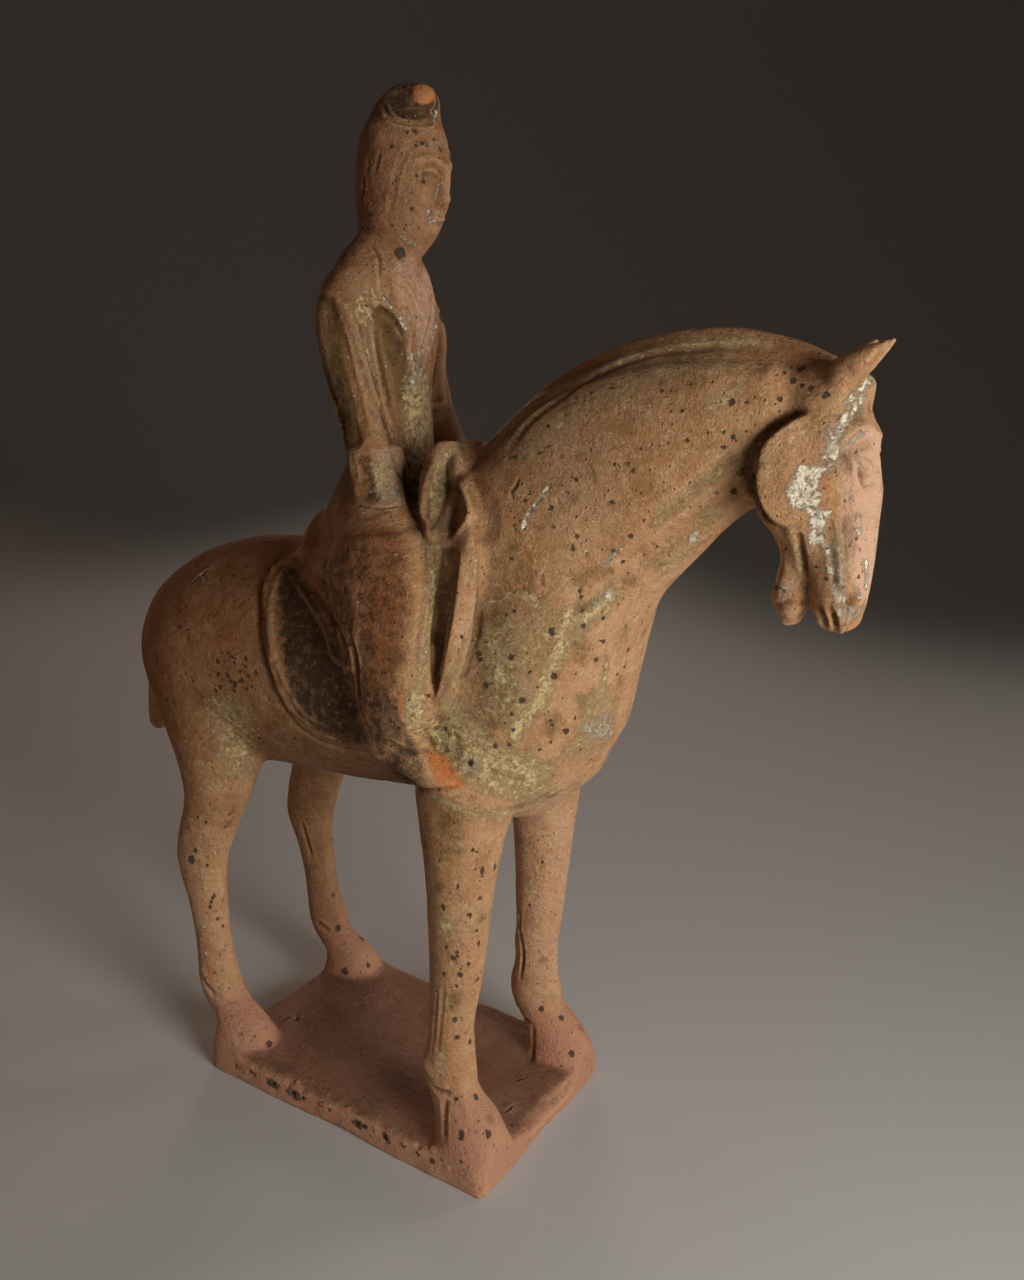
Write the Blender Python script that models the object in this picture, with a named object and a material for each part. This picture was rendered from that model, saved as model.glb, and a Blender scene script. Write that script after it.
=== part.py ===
"""Horse and rider: a hand-finished figure of fired red clay, standing on its slab.

The figure was pressed in moulds, luted together with slip, worked over by hand and
fired as one piece with the slab under its hooves, so it is one solid here.
+X is the way the horse faces, +Y is its left side, +Z is up.
The origin is the middle of the slab's flat underside.
"""

import math

import bmesh
import bpy
import numpy as np

# The slab under the hooves, in metres
SLAB_LENGTH = 0.134
SLAB_WIDTH = 0.095
SLAB_THICKNESS = 0.011
SLAB_EDGE_ROUND = 0.0016

# The figure, from the slab's top to the top of the rider's topknot
FIGURE_HEIGHT = 0.373

# How far each hoof's middle stands inside the slab's ends and long edges
FORE_HOOF_INSET = 0.0120
HIND_HOOF_INSET = 0.0090
FORE_HOOF_SIDE_INSET = 0.0125
HIND_HOOF_SIDE_INSET = 0.0120

# The clay skin: the grain that the luted lumps are fused at, and its facets
CLAY_GRAIN = 0.0016
FACETS = 9200
SMOOTHING_PASSES = 7

# The figure's own millimetre: all of its stations below are given in these, from the
# slab's top upward, for a figure 373 of them high
FIGURE_MM = FIGURE_HEIGHT / 373

# The left fore leg rises this far behind the right one
LEFT_FORE_SET_BACK = 4
HOOF_HEIGHT = 9

# The lines above and below the horse's eye, on the side view
EYE_BROW = [(147.5, 262), (151, 265.2), (156, 264)]
EYE_BAG = [(148.5, 258), (152, 255.8), (157, 257)]

CURVE_STEPS = 8
RING_SIDES = 44
DOME_RINGS = 5
BOTH_SIDES = (-1, 1)
SLAB_TOP = np.array([0.0, 0.0, SLAB_THICKNESS])


def clear_scene():
    for old in list(bpy.data.objects):
        bpy.data.objects.remove(old, do_unlink=True)


def smooth_path(stations, steps=CURVE_STEPS):
    """Rows of a Catmull-Rom curve through the stations, which may hold any numbers."""
    rows = np.array(stations, dtype=float)
    padded = np.vstack([2 * rows[0] - rows[1], rows, 2 * rows[-1] - rows[-2]])
    curve = []
    for a, b, c, d in zip(padded, padded[1:], padded[2:], padded[3:]):
        for step in range(steps):
            t = step / steps
            curve.append(
                0.5 * (2 * b + (c - a) * t + (2 * a - 5 * b + 4 * c - d) * t**2
                       + (3 * b - a - 3 * c + d) * t**3)
            )
    curve.append(rows[-1])
    return np.array(curve)


def unit(vector):
    return vector / np.linalg.norm(vector)


def add_rings(clay, rings, first_tip, last_tip):
    """Skin a row of rings into one closed lump, with a point at either end."""
    rows = [[clay.verts.new(point) for point in ring] for ring in rings]
    sides = len(rows[0])
    for lower, upper in zip(rows, rows[1:]):
        for i in range(sides):
            j = (i + 1) % sides
            clay.faces.new((lower[i], lower[j], upper[j], upper[i]))
    for row, tip in ((rows[0][::-1], first_tip), (rows[-1], last_tip)):
        pole = clay.verts.new(tip)
        for i in range(sides):
            clay.faces.new((row[i], row[(i + 1) % sides], pole))


def add_limb(clay, stations, pinch=0.0, dome=0.6, squareness=2.0, across=(0, 1, 0)):
    """A lump drawn along a path, in figure millimetres.

    Each station is (x, y, z, half width across, half depth). The width is measured
    along the direction across, and the depth square to it and to the path. The pinch
    narrows the ring's front side, and the dome rounds both ends.
    """
    rows = smooth_path(stations)
    centres = rows[:, :3]
    halves = np.maximum(rows[:, 3:5], 0.5)
    tangents = np.gradient(centres, axis=0)
    turn = np.linspace(0, 2 * math.pi, RING_SIDES, endpoint=False)
    power = 2 / squareness
    round_cos = np.sign(np.cos(turn)) * np.abs(np.cos(turn)) ** power
    round_sin = np.sign(np.sin(turn)) * np.abs(np.sin(turn)) ** power
    taper = 1 - pinch * (1 + np.cos(turn)) / 2

    def ring(centre, tangent, half_width, half_depth):
        along = unit(tangent)
        side = unit(across - along * (along @ across))
        front = np.cross(side, along)
        points = (
            centre
            + np.outer(round_cos * half_depth, front)
            + np.outer(round_sin * taper * half_width, side)
        )
        return points * FIGURE_MM + SLAB_TOP

    def dome_rings(centre, tangent, half_width, half_depth, outward):
        reach = dome * min(half_width, half_depth)
        made = []
        for k in range(1, DOME_RINGS):
            lift = k / DOME_RINGS * math.pi / 2
            shift = unit(tangent) * outward * reach * math.sin(lift)
            scale = math.cos(lift)
            made.append(
                ring(centre + shift, tangent, half_width * scale, half_depth * scale)
            )
        tip = (centre + unit(tangent) * outward * reach) * FIGURE_MM + SLAB_TOP
        return made, tip

    body = [
        ring(centre, tangent, *half)
        for centre, tangent, half in zip(centres, tangents, halves)
    ]
    start, first_tip = dome_rings(centres[0], tangents[0], *halves[0], -1)
    end, last_tip = dome_rings(centres[-1], tangents[-1], *halves[-1], 1)
    add_rings(clay, start[::-1] + body + end, first_tip, last_tip)


def add_ball(clay, centre, radii):
    """An egg-shaped lump, in figure millimetres."""
    x, y, z = centre
    rx, ry, rz = radii
    rows = []
    for k in range(1, 2 * DOME_RINGS):
        lift = -math.pi / 2 + k / (2 * DOME_RINGS) * math.pi
        rows.append((x, y, z + rz * math.sin(lift), ry * math.cos(lift), rx * math.cos(lift)))
    turn = np.linspace(0, 2 * math.pi, RING_SIDES, endpoint=False)
    rings = [
        np.stack(
            [cx + hx * np.cos(turn), cy + hy * np.sin(turn), np.full(RING_SIDES, cz)], axis=1
        ) * FIGURE_MM + SLAB_TOP
        for cx, cy, cz, hy, hx in rows
    ]
    bottom = np.array([x, y, z - rz]) * FIGURE_MM + SLAB_TOP
    top = np.array([x, y, z + rz]) * FIGURE_MM + SLAB_TOP
    add_rings(clay, rings, bottom, top)


def mirrored(stations, side):
    """Stations given for the left side, on the side asked for."""
    return [(x, y * side, z, *rest) for x, y, z, *rest in stations]


def stood_on(stations, hoof_x, hoof_y):
    """A leg's stations leaned so that its hoof stands at the place given."""
    foot_x, foot_y, foot_z = stations[-1][:3]
    top_z = stations[0][2]
    leaned = []
    for x, y, z, width, depth in stations:
        share = (top_z - z) / (top_z - foot_z)
        leaned.append(
            (x + (hoof_x - foot_x) * share, y + (hoof_y - foot_y) * share, z, width, depth)
        )
    return leaned


def horse_body(clay):
    """The barrel, rump and breast."""
    add_limb(clay, [
        (-132, 0, 152, 16, 19),
        (-124, 0, 153, 31, 32),
        (-109, 0, 154.5, 41, 40),
        (-88, 0, 157.5, 46, 46),
        (-60, 0, 161, 46.5, 47.5),
        (-28, 0, 163, 45.5, 47),
        (5, 0, 166, 44, 46),
        (32, 0, 170, 43, 43),
        (48, 0, 174, 38, 38),
    ])
    add_limb(clay, [
        (62, 0, 230, 20, 24),
        (59.5, 0, 219, 28, 30),
        (56, 0, 204, 36.5, 32),
        (49.5, 0, 184, 42.5, 34),
        (44.5, 0, 164, 44, 36),
        (43, 0, 145, 39, 30.5),
    ])
    add_ball(clay, (42, 0, 139), (24, 28, 22))
    add_limb(clay, [(-126, 0, 168, 6, 6), (-139, 0, 157, 6.5, 6), (-145.5, 0, 140, 6, 5.5),
                    (-147.5, 0, 123, 5.4, 5), (-147.5, 0, 108.5, 5, 4.8)])


def horse_neck(clay):
    """The arched neck with its hogged mane."""
    add_limb(clay, [
        (20, 0, 195, 43, 44),
        (47, 0, 220, 39, 40.5),
        (67, 0, 241, 31.5, 39.8),
        (86, 0, 255.5, 25, 35),
        (104, 0, 264, 20.5, 28.5),
        (123, 0, 269, 16.5, 22),
    ], pinch=0.22, squareness=2.15)
    add_limb(clay, [(16, 0, 234, 6, 7), (22, 0, 243, 5, 5), (33, 0, 259, 4.5, 5),
                    (47, 0, 273, 4.3, 5), (65, 0, 283.5, 4.2, 5), (86, 0, 290, 4.2, 5),
                    (107, 0, 292, 4.2, 5), (124, 0, 290, 4.4, 5), (140, 0, 284, 5, 5)])


def horse_head(clay):
    """The upright head, its jaws, lips and ears."""
    add_limb(clay, [
        (135, 0, 282.5, 10, 11.5),
        (137, 0, 274, 13.8, 13),
        (138.5, 0, 262, 15.5, 16.5),
        (142.5, 0, 248, 14, 15.5),
        (147, 0, 234, 11.5, 11.5),
        (149.5, 0, 223, 10.5, 9),
        (150, 0, 211.5, 10, 7.5),
    ], squareness=2.3)
    for side in BOTH_SIDES:
        add_ball(clay, (135, 9 * side, 252), (15, 8.5, 18))
        add_ball(clay, (150.3, 9.3 * side, 260.5), (5.6, 5.2, 6))
    add_limb(clay, [(130, 0, 243, 11, 7), (135, 0, 230, 8, 5), (134.5, 0, 221, 7.5, 5.5),
                    (135.5, 0, 212, 7, 5.5)], dome=0.8)
    add_ball(clay, (147, 0, 281.5), (5, 8, 4.5))
    add_limb(clay, [(143, -10, 285.5, 5.2, 5.4), (148, -12, 288, 4.5, 4.6),
                    (153.3, -13.4, 291.8, 2.9, 3), (158.2, -14, 295.3, 1.4, 1.4)])
    add_limb(clay, [(138, 11, 282, 5.5, 6), (142.5, 12.5, 289, 4.0, 4.4),
                    (146.5, 13.5, 296, 1.8, 1.8)])


def trim_hooves(clay, first):
    """Pare the hooves flush with the slab's ends and long edges."""
    pared_below = SLAB_THICKNESS + HOOF_HEIGHT * FIGURE_MM
    clay.verts.ensure_lookup_table()
    for vert in clay.verts[first:]:
        if vert.co.z < pared_below:
            vert.co.x = max(-SLAB_LENGTH / 2, min(SLAB_LENGTH / 2, vert.co.x))
            vert.co.y = max(-SLAB_WIDTH / 2, min(SLAB_WIDTH / 2, vert.co.y))


def horse_legs(clay):
    """Straight fore legs and angled hind legs, each on a flared hoof."""
    fore = [
        (38, 24, 160, 19, 22),
        (38, 29, 138, 18, 20),
        (39, 32, 120, 14, 16),
        (40, 33, 104, 11.5, 13.5),
        (40.5, 33, 86, 10.2, 12),
        (41, 33, 66, 9, 10.4),
        (40.5, 33, 48, 8.3, 9),
        (41, 33, 36, 8.4, 9.2),
        (41, 33.5, 27, 9.5, 11.5),
        (45, 34, 17, 8.8, 9.5),
        (51.5, 34.5, 7, 11.5, 13),
        (55, 35, -2, 13, 16),
    ]
    hind = [
        (-92, 22, 152, 22, 32),
        (-84, 27, 132, 18.5, 26),
        (-79, 31, 114, 14, 18),
        (-79.5, 33, 98, 11, 13.5),
        (-83.5, 34, 82, 10, 12),
        (-85, 34, 71, 9.2, 11.5),
        (-80.5, 34.5, 55, 7.6, 8.4),
        (-76.5, 35, 36, 7.2, 7.6),
        (-73, 35.5, 22, 8.2, 9),
        (-67, 35.5, 12, 8.2, 8.2),
        (-60, 36, 2, 12, 13.5),
        (-57, 36, -5, 13, 16.5),
    ]
    first = len(clay.verts)
    fore_x = (SLAB_LENGTH / 2 - FORE_HOOF_INSET) / FIGURE_MM
    hind_x = (-SLAB_LENGTH / 2 + HIND_HOOF_INSET) / FIGURE_MM
    fore_y = (SLAB_WIDTH / 2 - FORE_HOOF_SIDE_INSET) / FIGURE_MM
    hind_y = (SLAB_WIDTH / 2 - HIND_HOOF_SIDE_INSET) / FIGURE_MM
    for side in BOTH_SIDES:
        set_back = LEFT_FORE_SET_BACK if side > 0 else 0
        placed = [(x - set_back, *rest) for x, *rest in fore]
        add_limb(clay, mirrored(stood_on(placed, fore_x, fore_y), side), dome=0.1)
        add_limb(clay, mirrored(stood_on(hind, hind_x, hind_y), side), dome=0.1)
    trim_hooves(clay, first)


def saddle(clay):
    """The seat with its cantle, and the folded cloth over the pommel."""
    add_limb(clay, [(-46, 0, 203, 24, 14), (-20, 0, 207, 30, 16), (10, 0, 212, 28, 18)])
    add_limb(clay, [(-38, -24, 208, 6, 6), (-44, -12, 214, 6, 7), (-46, 0, 216, 6, 7),
                    (-44, 12, 214, 6, 7), (-38, 24, 208, 6, 6)], across=(1, 0, 0))
    add_ball(clay, (20, 0, 231), (13, 20, 19))
    for side in BOTH_SIDES:
        add_ball(clay, (27, 26 * side, 198), (16, 13.5, 23))
        add_limb(clay, mirrored([(19, 7, 249, 6, 5), (16.5, 15, 249, 5, 4.8),
                                 (13.8, 20.5, 241.5, 4.4, 4.6), (12.8, 24.5, 232, 4, 4.4),
                                 (14, 27, 223.5, 3.6, 3.8), (17, 29, 219, 3, 3.2)], side))
        add_limb(clay, mirrored([(20, 15, 249.5, 4, 3.8), (28, 28, 241.2, 3.8, 3.4),
                                 (34.2, 32.5, 235.3, 3.6, 3), (35.8, 34, 231, 3.6, 3),
                                 (33.2, 34, 225.8, 3.4, 3), (29.5, 33, 221.8, 3, 3)], side))
        add_limb(clay, mirrored([(37, 35, 227, 2.6, 2.4), (38.6, 37, 219.5, 3.2, 2.8),
                                 (39.5, 41, 206, 3.6, 3), (39.5, 43, 195, 3.6, 3),
                                 (39, 44, 182, 3.5, 2.8), (37.2, 44.6, 173, 3, 2.5),
                                 (35.2, 45, 166, 2.2, 2)], side))


def rider_body(clay):
    """The upright rider in a close coat."""
    add_limb(clay, [
        (-22, 0, 205, 33, 26),
        (-22, 0, 222, 28, 22.5),
        (-22, 0, 240, 20, 16),
        (-23, 0, 255, 16, 14),
        (-26, 0, 274, 18.5, 15),
        (-28, 0, 290, 22.5, 15.5),
        (-29.5, 0, 303, 23.5, 15),
        (-30.5, 0, 311, 21.5, 14),
        (-29.5, 0, 318, 13.5, 11),
        (-27.5, 0, 323, 9.5, 9.5),
        (-26, 0, 330, 8, 8),
    ])
    for side in BOTH_SIDES:
        add_limb(clay, mirrored([
            (-31, 18.5, 303, 9.2, 10.5),
            (-30.3, 23.8, 291, 8.8, 9.8),
            (-26, 24.5, 273, 7.8, 8.2),
            (-18.5, 24.5, 254, 7.6, 8),
            (-12, 26, 241, 8, 8.6),
            (-6, 28, 229, 8, 8.5),
        ], side))


def rider_legs(clay):
    """The skirt of the coat, the hanging legs and the boots."""
    for side in BOTH_SIDES:
        add_limb(clay, mirrored([
            (-15, 21, 228, 13, 15),
            (-3, 32, 215, 14, 17.5),
            (7, 39, 200, 12.5, 18.5),
            (13.5, 43, 184, 11.5, 16.5),
            (17.5, 45, 168, 10.5, 13.5),
            (21, 46, 154, 9.5, 11.5),
        ], side))
        add_limb(clay, mirrored([
            (17, 46, 154, 9, 9),
            (27, 46.5, 149, 8.6, 8),
            (37, 45.5, 144, 7.4, 6),
            (47, 43, 141, 5, 3.6),
        ], side))


def rider_head(clay):
    """An egg of a head, its hair drawn up to a topknot that leans forward."""
    add_limb(clay, [
        (-25, 0, 318, 9, 11),
        (-24.5, 0, 325, 13, 16),
        (-24, 0, 336, 15, 18),
        (-24, 0, 348, 15.5, 18),
        (-24.5, 0, 357, 14, 15.5),
        (-25, 0, 363, 10, 12),
    ], dome=0.5)
    add_limb(clay, [(-32, 0, 357, 8, 8), (-25, 0, 364, 8, 9), (-14.5, 0, 366, 7, 6.5)], dome=0.6)


def slab(clay):
    """The slab, made deeper than it is so that its underside can be cut flat."""
    depth = 2 * SLAB_THICKNESS
    made = bmesh.ops.create_cube(clay, size=1.0)
    bmesh.ops.scale(clay, vec=(SLAB_LENGTH, SLAB_WIDTH, depth), verts=made["verts"])
    bmesh.ops.translate(clay, vec=(0, 0, SLAB_THICKNESS - depth / 2), verts=made["verts"])
    edges = {edge for vert in made["verts"] for edge in vert.link_edges}
    bmesh.ops.bevel(clay, geom=list(edges), offset=SLAB_EDGE_ROUND, segments=2, profile=0.5,
                    affect="EDGES", material=-1)


def distance_to_path(points, path):
    """How far each point is from a path of straight runs."""
    nearest = np.full(len(points), np.inf)
    for start, end in zip(path, path[1:]):
        run = end - start
        share = np.clip((points - start) @ run / (run @ run), 0, 1)
        gap = np.linalg.norm(points - (start + share[:, None] * run), axis=1)
        nearest = np.minimum(nearest, gap)
    return nearest


def inside_outline(points, outline):
    """Which points lie inside a closed outline."""
    inside = np.zeros(len(points), dtype=bool)
    for (x0, y0), (x1, y1) in zip(outline, np.roll(outline, -1, axis=0)):
        crosses = (points[:, 1] > y0) != (points[:, 1] > y1)
        at_x = x0 + (points[:, 1] - y0) * (x1 - x0) / (y1 - y0 + 1e-12)
        inside ^= crosses & (points[:, 0] < at_x)
    return inside


class Carving:
    """Strokes pressed into the clay skin, or laid on it, along its normals.

    A stroke is drawn on the side view as (x, z), or on the front view as (y, z), in
    figure millimetres. It works on the skin that faces that view, within reach.
    """

    # Across and up the view, then towards whoever looks at it
    VIEWS = {"side": "xzy", "front": "yzx"}

    def __init__(self, skin):
        self.skin = skin
        count = len(skin.vertices)
        flat = np.empty(count * 3, dtype=np.float32)
        skin.vertices.foreach_get("co", flat)
        self.points = (flat.reshape(-1, 3).astype(float) - SLAB_TOP) / FIGURE_MM
        ends = np.empty(len(skin.edges) * 2, dtype=np.int32)
        skin.edges.foreach_get("vertices", ends)
        self.edges = ends.reshape(-1, 2)
        self.read_normals()

    def read_normals(self):
        flat = np.empty(len(self.points) * 3, dtype=np.float32)
        self.skin.vertex_normals.foreach_get("vector", flat)
        self.normals = flat.reshape(-1, 3).astype(float)

    def facing(self, view, side, reach):
        """The skin that faces one side of a view, past a distance from the middle."""
        axis = self.axes(view)[2]
        return (self.normals[:, axis] * side > 0.1) & (self.points[:, axis] * side > reach)

    def axes(self, view):
        return ["xyz".index(letter) for letter in self.VIEWS[view]]

    def flat(self, view):
        return self.points[:, self.axes(view)[:2]]

    def stroke(self, view, path, width, depth, side=1, reach=0.0):
        """A groove where the depth is negative, and a ridge where it isn't."""
        chosen = np.flatnonzero(self.facing(view, side, reach))
        gap = distance_to_path(self.flat(view)[chosen], smooth_path(path))
        push = depth * np.clip(1 - (gap / width) ** 2, 0, 1) ** 2
        self.points[chosen] += self.normals[chosen] * push[:, None]

    def patch(self, view, outline, edge, depth, side=1, reach=0.0):
        """A raised or sunken patch, with a slope of the width edge round it."""
        chosen = np.flatnonzero(self.facing(view, side, reach))
        flat = self.flat(view)[chosen]
        closed = smooth_path([*outline, outline[0]])
        gap = distance_to_path(flat, closed)
        gap = np.where(inside_outline(flat, closed[:-1]), gap, 0)
        share = np.clip(gap / edge, 0, 1)
        push = depth * share * share * (3 - 2 * share)
        self.points[chosen] += self.normals[chosen] * push[:, None]

    def soften(self, centre, radii, passes):
        """Even out the skin inside an egg-shaped space, fading towards its edge."""
        reach = np.linalg.norm((self.points - centre) / radii, axis=1)
        ends = self.edges[(reach[self.edges] < 1).any(axis=1)]
        ends = np.vstack([ends, ends[:, ::-1]])
        count = len(self.points)
        links = np.maximum(np.bincount(ends[:, 0], minlength=count), 1)
        weight = np.clip(1 - reach**2, 0, 1)
        for _ in range(passes):
            for axis in range(3):
                column = self.points[:, axis]
                mean = np.bincount(ends[:, 0], column[ends[:, 1]], count) / links
                self.points[:, axis] += weight * (mean - column)

    def apply(self):
        placed = self.points * FIGURE_MM + SLAB_TOP
        self.skin.vertices.foreach_set("co", placed.astype(np.float32).ravel())
        self.skin.update()
        self.read_normals()


def blend_joins(carving):
    """Sponge over the places where one lump was pressed on to another."""
    carving.soften((78, 0, 208), (34, 60, 34), 60)
    carving.soften((40, 0, 140), (34, 60, 16), 30)
    for side in BOTH_SIDES:
        carving.soften((-92, 34 * side, 140), (34, 24, 24), 30)
        carving.soften((-28, 20 * side, 303), (14, 14, 16), 16)
    carving.apply()


def carve_horse(carving):
    """The mane's edge, the throat, jaws, eyes, nostrils and the saddle cloth."""
    mane = [(25, 240), (34, 256), (48, 270), (66, 279.5), (88, 286), (106, 287.5), (119, 286)]
    throat = [(76, 206), (91, 223), (108, 241), (120, 252.5)]
    jaw = [(131, 272), (125.5, 267), (121.5, 258), (123, 249), (127, 243.5)]
    cloth = [(-44, 209), (-54, 202.5), (-56, 197), (-53, 190), (-47, 182), (-42.5, 173),
             (-37.5, 161), (-30, 151.5), (-16, 145), (4, 144), (22, 148), (34, 164), (40, 186),
             (40, 210), (34, 228)]
    rim = cloth[:10]
    flap = [(-30, 208), (-39, 200), (-28, 190), (-18, 181), (-12, 172), (-2, 170), (10, 180),
            (10, 200), (-5, 212)]
    for side in BOTH_SIDES:
        carving.patch("side", cloth, 2.5, 2.0, side, 8)
        carving.patch("side", flap, 4.0, 2.0, side, 12)
        carving.stroke("side", [(x + 3, z) for x, z in rim], 3.2, 1.1, side, 12)
        carving.stroke("side", rim, 2.4, -0.7, side, 12)
        carving.stroke("side", mane, 3.2, -1.6, side, 1)
        carving.stroke("side", throat, 5.0, -2.4, side, 6)
        carving.stroke("side", jaw, 4.2, -2.8, side, 5)
        carving.stroke("side", [(21, 239), (21.5, 232), (21, 225)], 3.6, -2.0, side, 10)
        carving.stroke("side", EYE_BROW, 2.0, -0.9, side, 6)
        carving.stroke("side", [(154, 260.2), (154.6, 259.8)], 3.0, 0.9, side, 6)
        carving.stroke("side", EYE_BAG, 1.6, -0.9, side, 6)
        carving.stroke("side", [(154.6, 219.5), (155.4, 221.5)], 2.4, -2.0, side, 3)
        carving.stroke("side", [(149.5, 250), (151, 238), (152, 226)], 2.2, -1.0, side, 4)
        carving.stroke("side", [(140, 247), (143, 236), (145.5, 226)], 2.2, -1.0, side, 4)
    carving.apply()


def carve_rider(carving):
    """The coat's open front, the sleeves and a calm, plain face."""
    for side in BOTH_SIDES:
        sleeve = [(-20, 298), (-14.5, 284), (-12, 270), (-7, 253), (0, 240)]
        carving.stroke("side", sleeve, 3.0, -1.6, side, 8)
        carving.stroke("side", [(-17, 227), (-8, 225), (3, 229)], 1.8, -1.2, side, 14)
        lapel = [(8 * side, 313), (11 * side, 300), (9 * side, 285), (1 * side, 268)]
        carving.stroke("front", lapel, 2.4, 1.0, 1, -24)
        eye = [(4 * side, 340.5), (7 * side, 341), (10.5 * side, 340)]
        carving.stroke("front", eye, 3.2, -0.9, 1, -18)
        carving.stroke("front", eye, 1.5, 0.6, 1, -18)
    carving.stroke("front", [(0, 345), (0, 340), (0, 334)], 2.6, 1.7, 1, -12)
    carving.stroke("front", [(-3, 328), (0, 328.6), (3, 328)], 1.8, 0.8, 1, -18)
    carving.stroke("front", [(-3.2, 327), (0, 327.2), (3.2, 327)], 0.9, -0.8, 1, -18)
    carving.apply()


def evaluated(obj):
    """A new mesh of the object with its modifiers."""
    graph = bpy.context.evaluated_depsgraph_get()
    return bpy.data.meshes.new_from_object(obj.evaluated_get(graph))


def fused(clay):
    """One skin round all the lumps, smoothed as wet clay is."""
    mesh = bpy.data.meshes.new("lumps")
    clay.to_mesh(mesh)
    lumps = bpy.data.objects.new("lumps", mesh)
    bpy.context.scene.collection.objects.link(lumps)
    remesh = lumps.modifiers.new("Fuse", "REMESH")
    remesh.mode = "VOXEL"
    remesh.voxel_size = CLAY_GRAIN
    smooth = lumps.modifiers.new("Smooth", "SMOOTH")
    smooth.factor = 0.5
    smooth.iterations = SMOOTHING_PASSES
    skin = evaluated(lumps)
    bpy.data.objects.remove(lumps, do_unlink=True)
    return skin


def terracotta():
    """Unglazed red clay, dull and a little dusty."""
    material = bpy.data.materials.new("terracotta")
    material.use_nodes = True
    shader = material.node_tree.nodes["Principled BSDF"]
    shader.inputs["Base Color"].default_value = (0.33, 0.15, 0.07, 1)
    shader.inputs["Roughness"].default_value = 0.85
    shader.inputs["Metallic"].default_value = 0.0
    return material


def finish(skin):
    """Thin the facets, cut the slab's underside flat and make the object."""
    figure = bpy.data.objects.new("horse_and_rider", skin)
    bpy.context.scene.collection.objects.link(figure)
    thin = figure.modifiers.new("Facets", "DECIMATE")
    thin.ratio = FACETS / (2 * len(skin.polygons))
    mesh = evaluated(figure)
    figure.modifiers.remove(thin)
    solid = bmesh.new()
    solid.from_mesh(mesh)
    everything = solid.verts[:] + solid.edges[:] + solid.faces[:]
    bmesh.ops.bisect_plane(solid, geom=everything, plane_co=(0, 0, 0), plane_no=(0, 0, -1),
                           clear_outer=True)
    rim = [edge for edge in solid.edges if edge.is_boundary]
    bmesh.ops.triangle_fill(solid, edges=rim, use_beauty=True, use_dissolve=False)
    bmesh.ops.recalc_face_normals(solid, faces=solid.faces[:])
    solid.to_mesh(mesh)
    solid.free()
    mesh.name = "horse_and_rider"
    mesh.shade_smooth()
    mesh.set_sharp_from_angle(angle=math.radians(60))
    mesh.materials.append(terracotta())
    figure.data = mesh
    return figure


def main():
    clear_scene()
    clay = bmesh.new()
    for lump in (slab, horse_legs, horse_body, horse_neck, horse_head, saddle, rider_body,
                 rider_legs, rider_head):
        lump(clay)
    bmesh.ops.recalc_face_normals(clay, faces=clay.faces[:])
    skin = fused(clay)
    clay.free()
    carving = Carving(skin)
    blend_joins(carving)
    carve_horse(carving)
    carve_rider(carving)
    finish(skin)


main()
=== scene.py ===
# %% [markdown]
# # A horse and rider of fired red clay
# The figure was pressed in moulds, joined with wet slip, worked over by hand and fired
# as one piece with the slab under its hooves. This script dresses the plain solid: it
# re-models the clay skin more finely, cuts the small forms into it and lays the finishes
# of an old, long buried surface over it. Lengths are in millimetres unless a name says
# otherwise, because that is how a modeller would measure the figure.

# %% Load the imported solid
import itertools
import math

import bmesh
import bpy
import numpy as np
from mathutils import Matrix, Vector
from mathutils.bvhtree import BVHTree
from mathutils.kdtree import KDTree


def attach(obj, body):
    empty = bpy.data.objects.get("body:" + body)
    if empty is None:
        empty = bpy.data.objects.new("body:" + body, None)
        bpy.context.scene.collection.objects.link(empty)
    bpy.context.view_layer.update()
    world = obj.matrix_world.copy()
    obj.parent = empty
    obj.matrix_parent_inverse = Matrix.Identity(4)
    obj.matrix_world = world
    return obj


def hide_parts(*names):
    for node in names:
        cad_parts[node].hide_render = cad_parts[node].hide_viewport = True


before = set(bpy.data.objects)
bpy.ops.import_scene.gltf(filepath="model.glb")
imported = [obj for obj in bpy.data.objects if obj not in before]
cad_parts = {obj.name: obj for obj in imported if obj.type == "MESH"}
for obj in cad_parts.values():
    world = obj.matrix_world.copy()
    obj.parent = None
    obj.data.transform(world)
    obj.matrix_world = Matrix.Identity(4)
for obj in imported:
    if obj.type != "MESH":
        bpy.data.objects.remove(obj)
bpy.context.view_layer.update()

FIGURE = "horse_and_rider"

# %% [markdown]
# ## The camera
# A photograph of a small figure is taken from close by, here from half a metre, a little
# above it and turned towards its head. The camera is made first, because a mark that is
# seen in the photograph is easiest to place by looking through it: a ray from the camera
# through the mark's place in the picture meets the clay where the mark is.

# %% Camera
IMAGE = (1024, 1280)
FOCAL_LENGTH_IN_PIXELS = 1100
SENSOR_MM = 36
CAMERA_PLACE_M = (0.2269, -0.3399, 0.2910)
AZIMUTH, ELEVATION, ROLL = (math.radians(angle) for angle in (29.44, 13.98, 4.33))

back = Vector((math.sin(AZIMUTH) * math.cos(ELEVATION),
               -math.cos(AZIMUTH) * math.cos(ELEVATION), math.sin(ELEVATION)))
sideways = Vector((math.cos(AZIMUTH), math.sin(AZIMUTH), 0))
turn = Matrix((sideways, back.cross(sideways), back)).transposed() @ Matrix.Rotation(ROLL, 3, "Z")
camera_data = bpy.data.cameras.new("camera")
camera_data.lens = SENSOR_MM * FOCAL_LENGTH_IN_PIXELS / max(IMAGE)
camera_data.sensor_width = SENSOR_MM
camera_data.clip_start = 0.01
camera = bpy.data.objects.new("camera", camera_data)
camera.matrix_world = Matrix.Translation(CAMERA_PLACE_M) @ turn.to_4x4()
bpy.context.scene.collection.objects.link(camera)
bpy.context.scene.camera = camera
print("camera lens", round(camera_data.lens, 2), "mm")

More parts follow.
